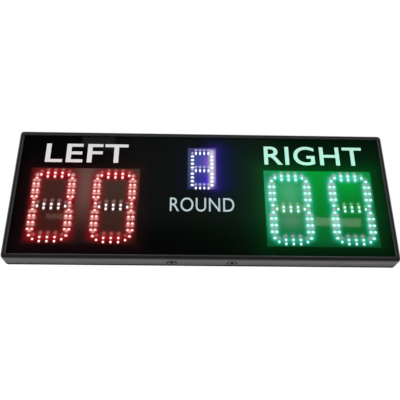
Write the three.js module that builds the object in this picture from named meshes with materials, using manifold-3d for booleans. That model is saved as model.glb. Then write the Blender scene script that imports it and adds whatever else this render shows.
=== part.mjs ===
// Electronic scoreboard: a shallow framed box with two large two-digit displays and a small one between.
// Every piece is drawn in the board's face frame: x to the right, y up and z from the back face to the
// viewer. The last lines stand that frame upright, so that the front faces -Y and +Z is up.
// Lengths are in millimetres. The origin is the middle of the rear cover's outer face.
import * as THREE from "three";
import { mergeVertices } from "three/addons/utils/BufferGeometryUtils.js";
import Module from "manifold-3d";

const wasm = await Module();
wasm.setup();

// Whole board
const boardWidth = 500;
const boardHeight = 186;
const boardDepth = 25;
const cornerRadius = 5;
const fitGap = 0.3; // between pieces that seat on each other
const overrun = 3; // how far a cutting tool runs past what it cuts

// Frame rails
const frontEdgeRadius = 4;
const backChamfer = 1;
const bezelWidth = 6.5;
const bevelWidth = 1.5;
const bevelDepth = 1.3;
const lipThickness = 2;
const railWall = 2.6;
const ribThickness = 1.5;
const ribReach = 2.4;
const flangeThickness = 1.5;
const flangeReach = 8.4;
const mitreGap = 0.3;

// Corner keys inside the rails
const keyLeg = 25;
const keyThickness = 3;
const keyBreadth = 9;

// Front panel and the black mask behind it
const panelThickness = 3;
const maskThickness = 0.5;
const windowSideMargin = 21.25; // from the board's outer edges to the large windows
const windowTopMargin = 55;
const windowBottomMargin = 20.6;
const windowSpacing = 166.5; // between the two large windows
const smallWindowWidth = 38.4;
const smallWindowTopMargin = 21;
const smallWindowShare = 0.58; // its height over a large window's

// Rear cover
const coverThickness = 2;
const postRadius = 3.5;
const postHoleDepth = 6.6;
const ventWidth = 2.4;
const ventLength = 26;
const ventPitch = 6;
const ventCount = 7;
const ventOffset = 44; // from a large window's middle towards the board's
const ventBottomMargin = 32;
const keyholeEntryRadius = 4.25;
const keyholeSlotWidth = 4;
const keyholeSlotRise = 10;
const keyholeSideMargin = 90; // from the board's outer edges to the entry's middle
const keyholeTopMargin = 35;

// Small countersunk and pan screws, and the two larger ones under the bottom rail
const screwShaftRadius = 1.5;
const screwHeadRadius = 2.75;
const screwSink = 0.2; // how far a countersunk head lies below its surface
const coverScrewLength = 6;
const coverScrewInset = 7.6; // from the board's outer edge
const coverScrewCornerInset = 35; // along the long edges, from the corners
const panHeadHeight = 1.6;
const panScrewLength = 7;
const screwSocketRadius = 1.15;
const screwSocketDepth = 0.9;
const standScrewSpacing = 76;
const standHeadRadius = 4.7;
const standShaftRadius = 2.5;
const standScrewLength = 8;
const standSocketRadius = 1.75;
const standSocketDepth = 1.5;
const standBarLength = 104;
const standBarThickness = 3;
const standBarBreadth = 9;
const standBarShare = 0.86; // of the play between the rails' flange and rib, left behind the bar

// Circuit boards
const circuitThickness = 1.6;
const lightGap = 5.7; // from the circuit boards' front to the panel's back
const displayLap = 5.8; // above and below a large window
const smallDisplaySideLap = 6.8;
const smallDisplayEndLap = 6;
const boardScrewInset = 3.6;
const controllerSideGap = 14; // between the controller and the large display boards
const controllerTopGap = 19.6; // below the small display board
const controllerBottomMargin = 14; // from the board's outer edge
const controllerPostHeight = 5.7;

// Large digits: seven segments, each with three pairs of lamps and one lamp at each tip
const digitSideMargin = 2.55; // from the window's sides to the digits' strips
const digitEndMargin = 2.95;
const digitGap = 22.8; // between the strips of two digits
const pairHalfSpread = 3;
const pairShare = 0.52; // of the way from a segment's middle to its tip lamps
const tipInset = 5.2; // from a segment's end to its tip lamp
const lampLength = 4.8;
const lampBreadth = 3;
const lampHeight = 1.4;
const stripThickness = 0.4;
const stripInset = 2.9; // from a segment's end to the end of its strip
const stripWidth = 11;

// Small digit: seven segments of four lamps in a row
const smallDigitSideMargin = 2.95;
const smallDigitEndMargin = 1.9;
const smallDigitDrop = 1.4; // below the small window's middle
const smallLampShare = 0.43; // the lamps' pitch over half a segment's length
const smallLampLength = 3.6;
const smallLampBreadth = 2.4;
const smallStripInset = 2;
const smallStripWidth = 6;

// Parts on the controller
const chipSize = 10;
const chipHeight = 1.4;
const capacitorRadius = 3.2;
const capacitorHeight = 5;
const capacitorPitch = 9;
const capacitorMiddleX = -21;
const capacitorEdge = 9.6; // from the controller's lower edge
const terminalScrewGap = 1.65; // above the screw head in the controller's corner
const terminalRibbonGap = 5;
const terminalBreadth = 8;
const leadPitchShare = 0.29; // of the terminal's length
const terminalHeight = 4.4;
const receiverWidth = 30;
const receiverHeight = 16;
const receiverThickness = 1.2;
const receiverShieldSize = 11;
const receiverShieldHeight = 1.8;
const buzzerRadius = 6;
const buzzerHeight = 6;
const buzzerHoleRadius = 1.2;
const buzzerHoleDepth = 2;
const ribbonWidth = 12;
const ribbonDrop = 17; // from the controller's upper edge to the side ribbons' middle
const ribbonThickness = 0.7;
const ribbonStripGap = 3.8; // between a ribbon's end and the large digits' strips
const smallRibbonStripGap = 1.9;
const leadRadius = 0.9;
const leadBend = 12; // reach of the bends beside the side panel's parts and the terminals

// Side panel in the right rail, with the power inlet, the rocker and the pairing button
const sideKeyGap = 3.1; // between the corner key below and the panel's flange
const sideCutLength = 60;
const sideCutBreadth = 10.6;
const sideRecess = 0.8;
const sideFlangeThickness = 1.5;
const sideFlangeLap = 2; // how far the flange reaches past the cut along the rail
const jackOffset = -20; // along the rail from the side panel's middle
const buttonOffset = 20;
const jackBodySize = 9;
const jackBodyDepth = 9;
const jackBushRadius = 4;
const jackSocketRadius = 3.2;
const jackSocketDepth = 9.5;
const jackPinRadius = 1;
const jackPinRecess = 1;
const rockerHousingLength = 13;
const rockerHousingBreadth = 7;
const rockerHousingDepth = 12.4;
const rockerHousingWall = 0.8;
const rockerCavityDepth = 7.5;
const rockerLength = 10;
const rockerRise = 2.2; // pivot to the rocker's ends
const rockerDip = 1.2; // pivot to the middle of its hollow face
const rockerSkirt = 2.4;
const rockerSetback = 3.2; // pivot to the board's right face
const rockerTiltDegrees = 10;
const rockerPinRadius = 0.8;
const rockerPinReach = 0.8;
const buttonRadius = 3;
const buttonFlangeRadius = 3.9;
const buttonFlangeThickness = 1;
const buttonProud = 0.5; // beyond the side panel's face
const buttonTravel = 0.5;
const buttonEdge = 0.4;
const tactSize = 6;
const tactHeight = 3;
const tactStemRadius = 1.6;
const tactStemHeight = 0.6;
const tactArmThickness = 1.2;
const tactBoardThickness = 1;
const tactArmBreadth = 8;

// Facets
const cornerSteps = 4;
const roundSteps = 24;
const smallRoundSteps = 12;
const leadSides = 6;
const leadSteps = 24;
const socketSides = 6;

// Levels along z that several pieces share
const lipBack = boardDepth - lipThickness;
const panelFront = lipBack - fitGap;
const panelBack = panelFront - panelThickness;
const maskFront = panelBack - fitGap;
const maskBack = maskFront - maskThickness;
const ribFront = maskBack - fitGap;
const ribBack = ribFront - ribThickness;
const flangeBack = coverThickness + fitGap;
const flangeFront = flangeBack + flangeThickness;
const circuitFront = panelBack - lightGap;
const circuitBack = circuitFront - circuitThickness;
const stripBack = circuitFront + fitGap;
const stripFront = stripBack + stripThickness;
const controllerBack = coverThickness + controllerPostHeight + fitGap;
const controllerFront = controllerBack + circuitThickness;
const railRoom = ribBack - flangeFront; // between the rails' flange and rib
const standBarPlay = railRoom - standBarBreadth;
const standScrewLevel = flangeFront + standBarShare * standBarPlay + standBarBreadth / 2;

// Side panel's place, and the levels along x that its parts share
const railInside = railWall + fitGap; // from the board's outer edge to what lies in the rails
const sideFlangeLow = railInside + keyLeg + sideKeyGap - boardHeight / 2;
const sideCentreY = sideFlangeLow + sideFlangeLap + sideCutLength / 2;
const sideCentreZ = (flangeFront + ribBack) / 2;
const sideFlangeBreadth = railRoom - 2 * fitGap;
const sideFlangeFace = boardWidth / 2 - railInside;
const sideFlangeBack = sideFlangeFace - sideFlangeThickness;
const sideFace = boardWidth / 2 - sideRecess;
const jackFront = sideFlangeBack - fitGap;
const jackBack = jackFront - jackBodyDepth;

// Windows, the display boards behind them and the controller in the room that these leave
const windowWidth = (boardWidth - windowSpacing) / 2 - windowSideMargin;
const windowHeight = boardHeight - windowTopMargin - windowBottomMargin;
const windowCentreX = (windowSpacing + windowWidth) / 2;
const windowCentreY = (windowBottomMargin - windowTopMargin) / 2;
const smallWindowHeight = windowHeight * smallWindowShare;
const smallWindowCentreY = boardHeight / 2 - smallWindowTopMargin - smallWindowHeight / 2;
const displayWidth = 2 * (jackBack - fitGap - windowCentreX);
const displayHeight = windowHeight + 2 * displayLap;
const displayEdgeX = windowCentreX - displayWidth / 2;
const digitCentreY = windowCentreY;
const smallDigitCentreY = smallWindowCentreY - smallDigitDrop;
const smallDisplayWidth = smallWindowWidth + 2 * smallDisplaySideLap;
const smallDisplayHeight = smallWindowHeight + 2 * smallDisplayEndLap;
const smallDisplayLow = smallDigitCentreY - smallDisplayHeight / 2;
const controllerEdgeX = displayEdgeX - controllerSideGap;
const controllerTop = smallDisplayLow - controllerTopGap;
const controllerLow = controllerBottomMargin - boardHeight / 2;
const controllerWidth = 2 * controllerEdgeX;
const controllerHeight = controllerTop - controllerLow;
const controllerCentreY = (controllerTop + controllerLow) / 2;

// Digits within their windows
const digitWidth = (windowWidth - digitGap) / 2 - digitSideMargin;
const digitPitch = digitWidth + digitGap;
const segmentReach = (digitWidth - stripWidth) / 2; // from the digit's middle line to its upright segments
const segmentPitch = (windowHeight - stripWidth) / 2 - digitEndMargin; // between the level segments
const smallSegmentReach = (smallWindowWidth - smallStripWidth) / 2 - smallDigitSideMargin;
const smallSegmentPitch = (smallWindowHeight - smallStripWidth) / 2 - smallDigitEndMargin;

// Ribbons and the terminal along the controller's side edges
const ribbonLanding = (displayWidth - windowWidth) / 2 + digitSideMargin - ribbonStripGap;
const smallRibbonLanding = smallDisplayEndLap + smallDigitEndMargin - smallRibbonStripGap;
const ribbonY = controllerTop - ribbonDrop;
const terminalTop = ribbonY - ribbonWidth / 2 - terminalRibbonGap;
const terminalLow = controllerLow + boardScrewInset + screwHeadRadius + terminalScrewGap;
const terminalLength = terminalTop - terminalLow;
const terminalY = (terminalTop + terminalLow) / 2;

const materials = {
  frame: finish(0x2b2b2e, 0.42, 0.75),
  key: finish(0x9a9da1, 0.45, 0.9),
  steel: finish(0x3a3a3c, 0.35, 0.9),
  panel: finish(0x15161a, 0.05, 0),
  mask: finish(0x08080a, 0.5, 0),
  cover: finish(0x1d1d1f, 0.6, 0),
  circuit: finish(0x2a2320, 0.45, 0),
  redLamps: finish(0xe8343a, 0.4, 0),
  greenLamps: finish(0x2fe08c, 0.4, 0),
  violetLamps: finish(0x7f74ff, 0.4, 0),
  module: finish(0x2c5a38, 0.5, 0),
  plastic: finish(0x101012, 0.5, 0),
  ribbon: finish(0x8c9094, 0.6, 0),
  lead: finish(0x8e1d1d, 0.5, 0),
};

function finish(color, roughness, metalness) {
  return new THREE.MeshStandardMaterial({ color, roughness, metalness });
}

// Solids: three.js geometry in, manifold solid out, and back again

function solid(geometry) {
  const bare = new THREE.BufferGeometry();
  bare.setAttribute("position", geometry.getAttribute("position"));
  bare.setIndex(geometry.getIndex());
  const merged = mergeVertices(bare);
  return new wasm.Manifold(
    new wasm.Mesh({
      numProp: 3,
      vertProperties: new Float32Array(merged.getAttribute("position").array),
      triVerts: new Uint32Array(merged.getIndex().array),
    }),
  );
}

function geometryOf(body) {
  const mesh = body.getMesh();
  const geometry = new THREE.BufferGeometry();
  geometry.setAttribute("position", new THREE.BufferAttribute(mesh.vertProperties, 3));
  geometry.setIndex(new THREE.BufferAttribute(mesh.triVerts, 1));
  geometry.computeVertexNormals();
  return geometry;
}

function cut(body, ...tools) {
  return tools.reduce((left, tool) => left.subtract(tool), body);
}

function join(body, ...others) {
  return others.reduce((whole, other) => whole.add(other), body);
}

// A block between two corners
function block(low, high) {
  const size = high.map((value, axis) => value - low[axis]);
  const middle = high.map((value, axis) => (value + low[axis]) / 2);
  return solid(new THREE.BoxGeometry(...size).translate(...middle));
}

// A block round a middle point in x and y, from one level to another
function slab(x, y, width, height, back, front) {
  return block([x - width / 2, y - height / 2, back], [x + width / 2, y + height / 2, front]);
}

// A body turned round the z axis from a profile of [radius, level] points, moved to x and y
function turned(profile, steps, x = 0, y = 0) {
  const points = profile.map(([radius, level]) => new THREE.Vector2(radius, level));
  const geometry = new THREE.LatheGeometry(points, steps);
  return solid(geometry.rotateX(Math.PI / 2).translate(x, y, 0));
}

function rod(radius, back, front, steps, x = 0, y = 0) {
  const profile = [
    [0, back],
    [radius, back],
    [radius, front],
    [0, front],
  ];
  return turned(profile, steps, x, y);
}

// The outline of a rectangle with round corners; no steps gives sharp ones
function outline(width, height, radius, steps) {
  const points = [];
  for (let corner = 0; corner < 4; corner += 1) {
    const signX = corner === 0 || corner === 3 ? 1 : -1;
    const signY = corner < 2 ? 1 : -1;
    const centreX = signX * (width / 2 - radius);
    const centreY = signY * (height / 2 - radius);
    for (let step = 0; step <= steps; step += 1) {
      const share = steps ? step / steps : 0;
      const angle = (corner + share) * (Math.PI / 2);
      points.push([centreX + radius * Math.cos(angle), centreY + radius * Math.sin(angle)]);
    }
  }
  return points;
}

// A closed body through a stack of outlines of equal length, each with its level
function loft(stack) {
  const positions = [];
  const faces = [];
  const count = stack[0].points.length;
  stack.forEach(({ points, level }) => {
    points.forEach(([x, y]) => positions.push(x, y, level));
  });
  for (let layer = 0; layer + 1 < stack.length; layer += 1) {
    for (let index = 0; index < count; index += 1) {
      const next = (index + 1) % count;
      const low = layer * count;
      const high = low + count;
      faces.push(low + index, low + next, high + next, low + index, high + next, high + index);
    }
  }
  const top = (stack.length - 1) * count;
  for (let index = 1; index + 1 < count; index += 1) {
    faces.push(0, index + 1, index);
    faces.push(top, top + index, top + index + 1);
  }
  const geometry = new THREE.BufferGeometry();
  geometry.setAttribute("position", new THREE.Float32BufferAttribute(positions, 3));
  geometry.setIndex(faces);
  return solid(geometry);
}

// Frame: a ring with a round front edge, a lip and groove for the panel and a flange for the rear cover
function insetOutline(inset, level) {
  const width = boardWidth - 2 * inset;
  const height = boardHeight - 2 * inset;
  return { points: outline(width, height, cornerRadius - inset, cornerSteps), level };
}

function opening(inset, back, front) {
  return slab(0, 0, boardWidth - 2 * inset, boardHeight - 2 * inset, back, front);
}

function sharpOutline(inset, level) {
  return { points: outline(boardWidth - 2 * inset, boardHeight - 2 * inset, 0, 0), level };
}

function frameRing() {
  const stack = [insetOutline(backChamfer, 0), insetOutline(0, backChamfer)];
  for (let step = 0; step <= cornerSteps; step += 1) {
    const angle = (step / cornerSteps) * (Math.PI / 2);
    const inset = frontEdgeRadius * (1 - Math.cos(angle));
    const level = boardDepth - frontEdgeRadius * (1 - Math.sin(angle));
    stack.push(insetOutline(inset, level));
  }
  const bevelSlope = bevelWidth / bevelDepth;
  const bevel = loft([
    sharpOutline(bezelWidth, boardDepth - bevelDepth),
    sharpOutline(bezelWidth - bevelSlope * (bevelDepth + overrun), boardDepth + overrun),
  ]);
  return cut(
    loft(stack),
    opening(railWall, -overrun, flangeBack),
    opening(railWall + flangeReach, -overrun, ribBack),
    opening(railWall, flangeFront, ribBack),
    opening(railWall + ribReach, flangeFront, ribFront),
    opening(railWall, ribFront, lipBack),
    opening(bezelWidth, ribFront, boardDepth + overrun),
    bevel,
  );
}

// The wedge of the ring that one rail takes, with mitred ends, turned round the board by quarter turns
function mitreTool(length, distance, quarters) {
  const reach = railWall + flangeReach + overrun;
  const back = (mitreGap / 2) * Math.SQRT2;
  const corners = [
    [length / 2 - reach - back, distance - reach],
    [length / 2 + overrun - back, distance + overrun],
    [-length / 2 - overrun + back, distance + overrun],
    [-length / 2 + reach + back, distance - reach],
  ];
  const angle = quarters * (Math.PI / 2);
  const points = corners.map(([x, y]) => [
    x * Math.cos(angle) - y * Math.sin(angle),
    x * Math.sin(angle) + y * Math.cos(angle),
  ]);
  return loft([
    { points, level: -overrun },
    { points, level: boardDepth + overrun },
  ]);
}

function addRails() {
  const ring = frameRing();
  const level = [boardWidth, boardHeight / 2];
  const upright = [boardHeight, boardWidth / 2];
  const top = ring.intersect(mitreTool(...level, 0));
  const left = ring.intersect(mitreTool(...upright, 1));
  const bottom = ring.intersect(mitreTool(...level, 2));
  const right = ring.intersect(mitreTool(...upright, 3));
  const holes = coverScrewPlaces().map(([x, y]) => {
    return rod(screwShaftRadius + fitGap, 0, flangeFront + fitGap, smallRoundSteps, x, y);
  });
  add("rail_top", cut(top, ...holes), materials.frame);
  add("rail_bottom", cut(bottom, ...holes, ...standScrewHoles()), materials.frame);
  add("rail_left", cut(left, ...holes), materials.frame);
  add("rail_right", cut(right, ...holes, sideCut()), materials.frame);
}

// L-shaped keys that join the rails inside their corners
function addCornerKeys() {
  const middle = (flangeFront + ribBack) / 2;
  const low = middle - keyBreadth / 2;
  const high = middle + keyBreadth / 2;
  const key = join(
    block([-keyLeg, -keyThickness, low], [0, 0, high]),
    block([-keyThickness, -keyLeg, low], [0, 0, high]),
  );
  const cornerX = boardWidth / 2 - railInside;
  const cornerY = boardHeight / 2 - railInside;
  const corners = {
    top_right: [cornerX, cornerY],
    top_left: [-cornerX, cornerY],
    bottom_left: [-cornerX, -cornerY],
    bottom_right: [cornerX, -cornerY],
  };
  Object.entries(corners).forEach(([corner, [x, y]], quarters) => {
    const mesh = add("corner_key_" + corner, key, materials.key);
    mesh.position.set(x, y, 0);
    mesh.rotation.z = quarters * (Math.PI / 2);
  });
}

// Screws: a countersunk head or a pan head, with a six-sided socket

function countersunkScrew(headRadius, shaftRadius, length, socketRadius, socketDepth) {
  const profile = [
    [0, 0],
    [headRadius, 0],
    [shaftRadius, headRadius - shaftRadius],
    [shaftRadius, length],
    [0, length],
  ];
  const socket = rod(socketRadius, -overrun, socketDepth, socketSides);
  return cut(turned(profile, smallRoundSteps), socket);
}

// A countersunk hole that starts at level zero and leaves the fit gap round the screw
function countersinkGeometry(headRadius, shaftRadius, depth) {
  const wide = headRadius + fitGap;
  const narrow = shaftRadius + fitGap;
  const profile = [
    [0, -overrun],
    [wide, -overrun],
    [wide, screwSink],
    [narrow, screwSink + wide - narrow],
    [narrow, depth],
    [0, depth],
  ];
  const points = profile.map(([radius, level]) => new THREE.Vector2(radius, level));
  return new THREE.LatheGeometry(points, smallRoundSteps).rotateX(Math.PI / 2);
}

function panScrew() {
  const profile = [
    [0, -panScrewLength],
    [screwShaftRadius, -panScrewLength],
    [screwShaftRadius, 0],
    [screwHeadRadius, 0],
    [screwHeadRadius, panHeadHeight / 2],
    [screwHeadRadius - panHeadHeight / 2, panHeadHeight],
    [0, panHeadHeight],
  ];
  const floor = panHeadHeight - screwSocketDepth;
  const socket = rod(screwSocketRadius, floor, panHeadHeight + overrun, socketSides);
  return cut(turned(profile, smallRoundSteps), socket);
}

// Two screws under the bottom rail, in a steel bar inside it: a stand's bracket fastens here
function standScrewPlaces() {
  return [-standScrewSpacing / 2, standScrewSpacing / 2];
}

function standScrewHoles() {
  return standScrewPlaces().map((x) => {
    const tool = countersinkGeometry(standHeadRadius, standShaftRadius, railWall + overrun);
    return solid(tool.rotateX(-Math.PI / 2).translate(x, -boardHeight / 2, standScrewLevel));
  });
}

function addStandFixing() {
  const barEdge = -boardHeight / 2 + railInside;
  const middle = standScrewLevel;
  const bar = block(
    [-standBarLength / 2, barEdge, middle - standBarBreadth / 2],
    [standBarLength / 2, barEdge + standBarThickness, middle + standBarBreadth / 2],
  );
  const bores = standScrewPlaces().map((x) => {
    const bore = new THREE.CylinderGeometry(
      standShaftRadius + fitGap,
      standShaftRadius + fitGap,
      standBarThickness + 2 * overrun,
      smallRoundSteps,
    );
    return solid(bore.translate(x, barEdge + standBarThickness / 2, middle));
  });
  add("stand_bar", cut(bar, ...bores), materials.key);
  const screw = countersunkScrew(
    standHeadRadius,
    standShaftRadius,
    standScrewLength,
    standSocketRadius,
    standSocketDepth,
  );
  standScrewPlaces().forEach((x, index) => {
    const mesh = add(["stand_screw_left", "stand_screw_right"][index], screw, materials.steel);
    mesh.position.set(x, -boardHeight / 2 + screwSink, middle);
    mesh.rotation.x = -Math.PI / 2;
  });
}

// Front panel and mask
function addFront() {
  const width = boardWidth - 2 * railInside;
  const height = boardHeight - 2 * railInside;
  add("front_panel", slab(0, 0, width, height, panelBack, panelFront), materials.panel);
  const low = maskBack - overrun;
  const high = maskFront + overrun;
  const windows = [-windowCentreX, windowCentreX].map((x) => {
    return slab(x, windowCentreY, windowWidth, windowHeight, low, high);
  });
  windows.push(slab(0, smallWindowCentreY, smallWindowWidth, smallWindowHeight, low, high));
  const sheet = slab(0, 0, width, height, maskBack, maskFront);
  add("mask_sheet", cut(sheet, ...windows), materials.mask);
}

// Where screws go: eight round the rear cover, and the corners of each circuit board

function coverScrewPlaces() {
  const edgeX = boardWidth / 2 - coverScrewInset;
  const edgeY = boardHeight / 2 - coverScrewInset;
  const spread = boardWidth / 2 - coverScrewCornerInset;
  const places = [];
  [edgeY, -edgeY].forEach((y) => {
    [-spread, 0, spread].forEach((x) => places.push([x, y]));
  });
  places.push([-edgeX, 0], [edgeX, 0]);
  return places;
}

function cornerPlaces(x, y, width, height) {
  const reachX = width / 2 - boardScrewInset;
  const reachY = height / 2 - boardScrewInset;
  return [
    [x - reachX, y + reachY],
    [x + reachX, y - reachY],
    [x + reachX, y + reachY],
    [x - reachX, y - reachY],
  ];
}

const leftPlaces = cornerPlaces(-windowCentreX, digitCentreY, displayWidth, displayHeight);
const rightPlaces = cornerPlaces(windowCentreX, digitCentreY, displayWidth, displayHeight);
const centrePlaces = cornerPlaces(0, smallDigitCentreY, smallDisplayWidth, smallDisplayHeight);
const controllerPlaces = cornerPlaces(0, controllerCentreY, controllerWidth, controllerHeight);

// A post on the rear cover, with a blind hole for its screw
function post(height, [x, y]) {
  const top = coverThickness + height;
  const outside = rod(postRadius, 0, top, smallRoundSteps, x, y);
  const floor = Math.max(top - postHoleDepth, coverThickness);
  const hole = rod(screwShaftRadius + fitGap, floor, top + overrun, smallRoundSteps, x, y);
  return { outside, hole };
}

function keyhole(x) {
  const y = boardHeight / 2 - keyholeTopMargin;
  const low = -overrun;
  const high = coverThickness + overrun;
  const entry = rod(keyholeEntryRadius, low, high, roundSteps, x, y);
  const slot = slab(x, y + keyholeSlotRise / 2, keyholeSlotWidth, keyholeSlotRise, low, high);
  const end = rod(keyholeSlotWidth / 2, low, high, smallRoundSteps, x, y + keyholeSlotRise);
  return join(entry, slot, end);
}

function vents(x) {
  const y = ventBottomMargin + ventLength / 2 - boardHeight / 2;
  const slots = [];
  for (let index = 0; index < ventCount; index += 1) {
    const slotX = x + (index - (ventCount - 1) / 2) * ventPitch;
    slots.push(slab(slotX, y, ventWidth, ventLength, -overrun, coverThickness + overrun));
  }
  return slots;
}

function addRearCover() {
  const width = boardWidth - 2 * railInside;
  const height = boardHeight - 2 * railInside;
  const plate = slab(0, 0, width, height, 0, coverThickness);
  const displayPosts = [...leftPlaces, ...rightPlaces, ...centrePlaces];
  const posts = [
    ...displayPosts.map((place) => post(circuitBack - fitGap - coverThickness, place)),
    ...controllerPlaces.map((place) => post(controllerPostHeight, place)),
  ];
  const screwHoles = coverScrewPlaces().map(([x, y]) => {
    const tool = countersinkGeometry(screwHeadRadius, screwShaftRadius, coverThickness + overrun);
    return solid(tool.translate(x, y, 0));
  });
  const ventX = windowCentreX - ventOffset;
  const keyholeX = boardWidth / 2 - keyholeSideMargin;
  const cover = cut(
    join(plate, ...posts.map(({ outside }) => outside)),
    ...posts.map(({ hole }) => hole),
    ...screwHoles,
    ...vents(-ventX),
    ...vents(ventX),
    keyhole(-keyholeX),
    keyhole(keyholeX),
  );
  add("rear_cover", cover, materials.cover);
  const screw = countersunkScrew(
    screwHeadRadius,
    screwShaftRadius,
    coverScrewLength,
    screwSocketRadius,
    screwSocketDepth,
  );
  coverScrewPlaces().forEach(([x, y], index) => {
    add("cover_screw_" + (index + 1), screw, materials.steel).position.set(x, y, screwSink);
  });
}

// Circuit boards behind the windows, each on four posts
function circuitBoard(x, y, width, height, places) {
  const sheet = slab(x, y, width, height, circuitBack, circuitFront);
  const holes = places.map(([holeX, holeY]) => {
    const radius = screwShaftRadius + fitGap;
    const low = circuitBack - overrun;
    return rod(radius, low, circuitFront + overrun, smallRoundSteps, holeX, holeY);
  });
  return cut(sheet, ...holes);
}

function addScrews(prefix, places, screw, level) {
  places.forEach(([x, y], index) => {
    add(prefix + (index + 1), screw, materials.steel).position.set(x, y, level);
  });
}

function addDisplayBoards() {
  const large = [displayWidth, displayHeight];
  const small = [smallDisplayWidth, smallDisplayHeight];
  const left = circuitBoard(-windowCentreX, digitCentreY, ...large, leftPlaces);
  const right = circuitBoard(windowCentreX, digitCentreY, ...large, rightPlaces);
  const centre = circuitBoard(0, smallDigitCentreY, ...small, centrePlaces);
  add("display_board_left", left, materials.circuit);
  add("display_board_right", right, materials.circuit);
  add("display_board_centre", centre, materials.circuit);
  const screw = panScrew();
  const level = circuitFront + fitGap;
  addScrews("left_board_screw_", leftPlaces, screw, level);
  addScrews("right_board_screw_", rightPlaces, screw, level);
  addScrews("centre_board_screw_", centrePlaces.slice(0, 2), screw, level);
}

// Lamp arrays: a figure-of-eight strip with a lamp package at every place

// The seven segments of a digit: the middle and half length of each, and whether it stands upright
function segments(pitch, reach) {
  const level = [pitch, 0, -pitch].map((y) => ({ x: 0, y, half: reach, upright: false }));
  const upright = [pitch / 2, -pitch / 2].flatMap((y) => [
    { x: -reach, y, half: pitch / 2, upright: true },
    { x: reach, y, half: pitch / 2, upright: true },
  ]);
  return [...level, ...upright];
}

// A box that runs along or across a segment, at a place given along and across it
function segmentBox(segment, along, across, length, width, back, front) {
  const x = segment.x + (segment.upright ? -across : along);
  const y = segment.y + (segment.upright ? along : across);
  const size = segment.upright ? [width, length] : [length, width];
  return slab(x, y, ...size, back, front);
}

function lampArray(digitSegments, strip, lampPlaces, lamp) {
  const lampFront = stripFront + lampHeight;
  const bodies = digitSegments.flatMap((segment) => {
    const length = 2 * (segment.half - strip.inset);
    const lamps = lampPlaces(segment.half).map(([along, across]) => {
      return segmentBox(segment, along, across, lamp.breadth, lamp.length, stripBack, lampFront);
    });
    return [segmentBox(segment, 0, 0, length, strip.width, stripBack, stripFront), ...lamps];
  });
  return join(...bodies);
}

function largeLampPlaces(half) {
  const tip = half - tipInset;
  const pairs = [-pairShare, 0, pairShare].flatMap((share) => [
    [tip * share, -pairHalfSpread],
    [tip * share, pairHalfSpread],
  ]);
  return [...pairs, [-tip, 0], [tip, 0]];
}

function smallLampPlaces(half) {
  const pitch = half * smallLampShare;
  return [-3, -1, 1, 3].map((step) => [(step * pitch) / 2, 0]);
}

function largeLampArray() {
  const strip = { inset: stripInset, width: stripWidth };
  const lamp = { breadth: lampBreadth, length: lampLength };
  return lampArray(segments(segmentPitch, segmentReach), strip, largeLampPlaces, lamp);
}

function smallLampArray() {
  const strip = { inset: smallStripInset, width: smallStripWidth };
  const lamp = { breadth: smallLampBreadth, length: smallLampLength };
  return lampArray(segments(smallSegmentPitch, smallSegmentReach), strip, smallLampPlaces, lamp);
}

function addLampArrays() {
  const large = largeLampArray();
  const places = {
    left_tens: [-windowCentreX - digitPitch / 2, materials.redLamps],
    left_ones: [-windowCentreX + digitPitch / 2, materials.redLamps],
    right_tens: [windowCentreX - digitPitch / 2, materials.greenLamps],
    right_ones: [windowCentreX + digitPitch / 2, materials.greenLamps],
  };
  Object.entries(places).forEach(([name, [x, material]]) => {
    add("lamp_array_" + name, large, material).position.set(x, digitCentreY, 0);
  });
  const small = add("lamp_array_centre", smallLampArray(), materials.violetLamps);
  small.position.set(0, smallDigitCentreY, 0);
}

// Controller board under the small display, with its terminals, receiver and buzzer
function addController() {
  const size = [controllerWidth, controllerHeight];
  const holes = controllerPlaces.map(([x, y]) => {
    const radius = screwShaftRadius + fitGap;
    const low = controllerBack - overrun;
    return rod(radius, low, controllerFront + overrun, smallRoundSteps, x, y);
  });
  const face = controllerFront;
  const terminalX = controllerEdgeX - terminalBreadth / 2;
  const terminalSize = [terminalBreadth, terminalLength];
  const capacitors = [-capacitorPitch / 2, capacitorPitch / 2].map((offset) => {
    const front = face + capacitorHeight;
    const x = capacitorMiddleX + offset;
    return rod(capacitorRadius, face, front, smallRoundSteps, x, controllerLow + capacitorEdge);
  });
  const board = join(
    slab(0, controllerCentreY, ...size, controllerBack, face),
    slab(0, terminalY, chipSize, chipSize, face, face + chipHeight),
    slab(terminalX, terminalY, ...terminalSize, face, face + terminalHeight),
    ...capacitors,
  );
  add("controller_board", cut(board, ...holes), materials.module);
  addScrews("controller_screw_", controllerPlaces.slice(0, 2), panScrew(), face + fitGap);

  const seat = face + fitGap;
  const receiverX = -controllerEdgeX / 2;
  const receiverY = controllerCentreY + receiverHeight / 2;
  const shieldSize = [receiverShieldSize, receiverShieldSize];
  const sheetFront = seat + receiverThickness;
  const receiver = join(
    slab(receiverX, receiverY, receiverWidth, receiverHeight, seat, sheetFront),
    slab(receiverX, receiverY, ...shieldSize, sheetFront, sheetFront + receiverShieldHeight),
  );
  add("receiver_module", receiver, materials.module);

  const buzzerX = controllerEdgeX / 2;
  const buzzerTop = seat + buzzerHeight;
  const shell = rod(buzzerRadius, seat, buzzerTop, roundSteps, buzzerX, terminalY);
  const holeFloor = buzzerTop - buzzerHoleDepth;
  const hole = rod(buzzerHoleRadius, holeFloor, buzzerTop + overrun, smallRoundSteps, buzzerX, terminalY);
  add("buzzer", cut(shell, hole), materials.plastic);
}

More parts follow.
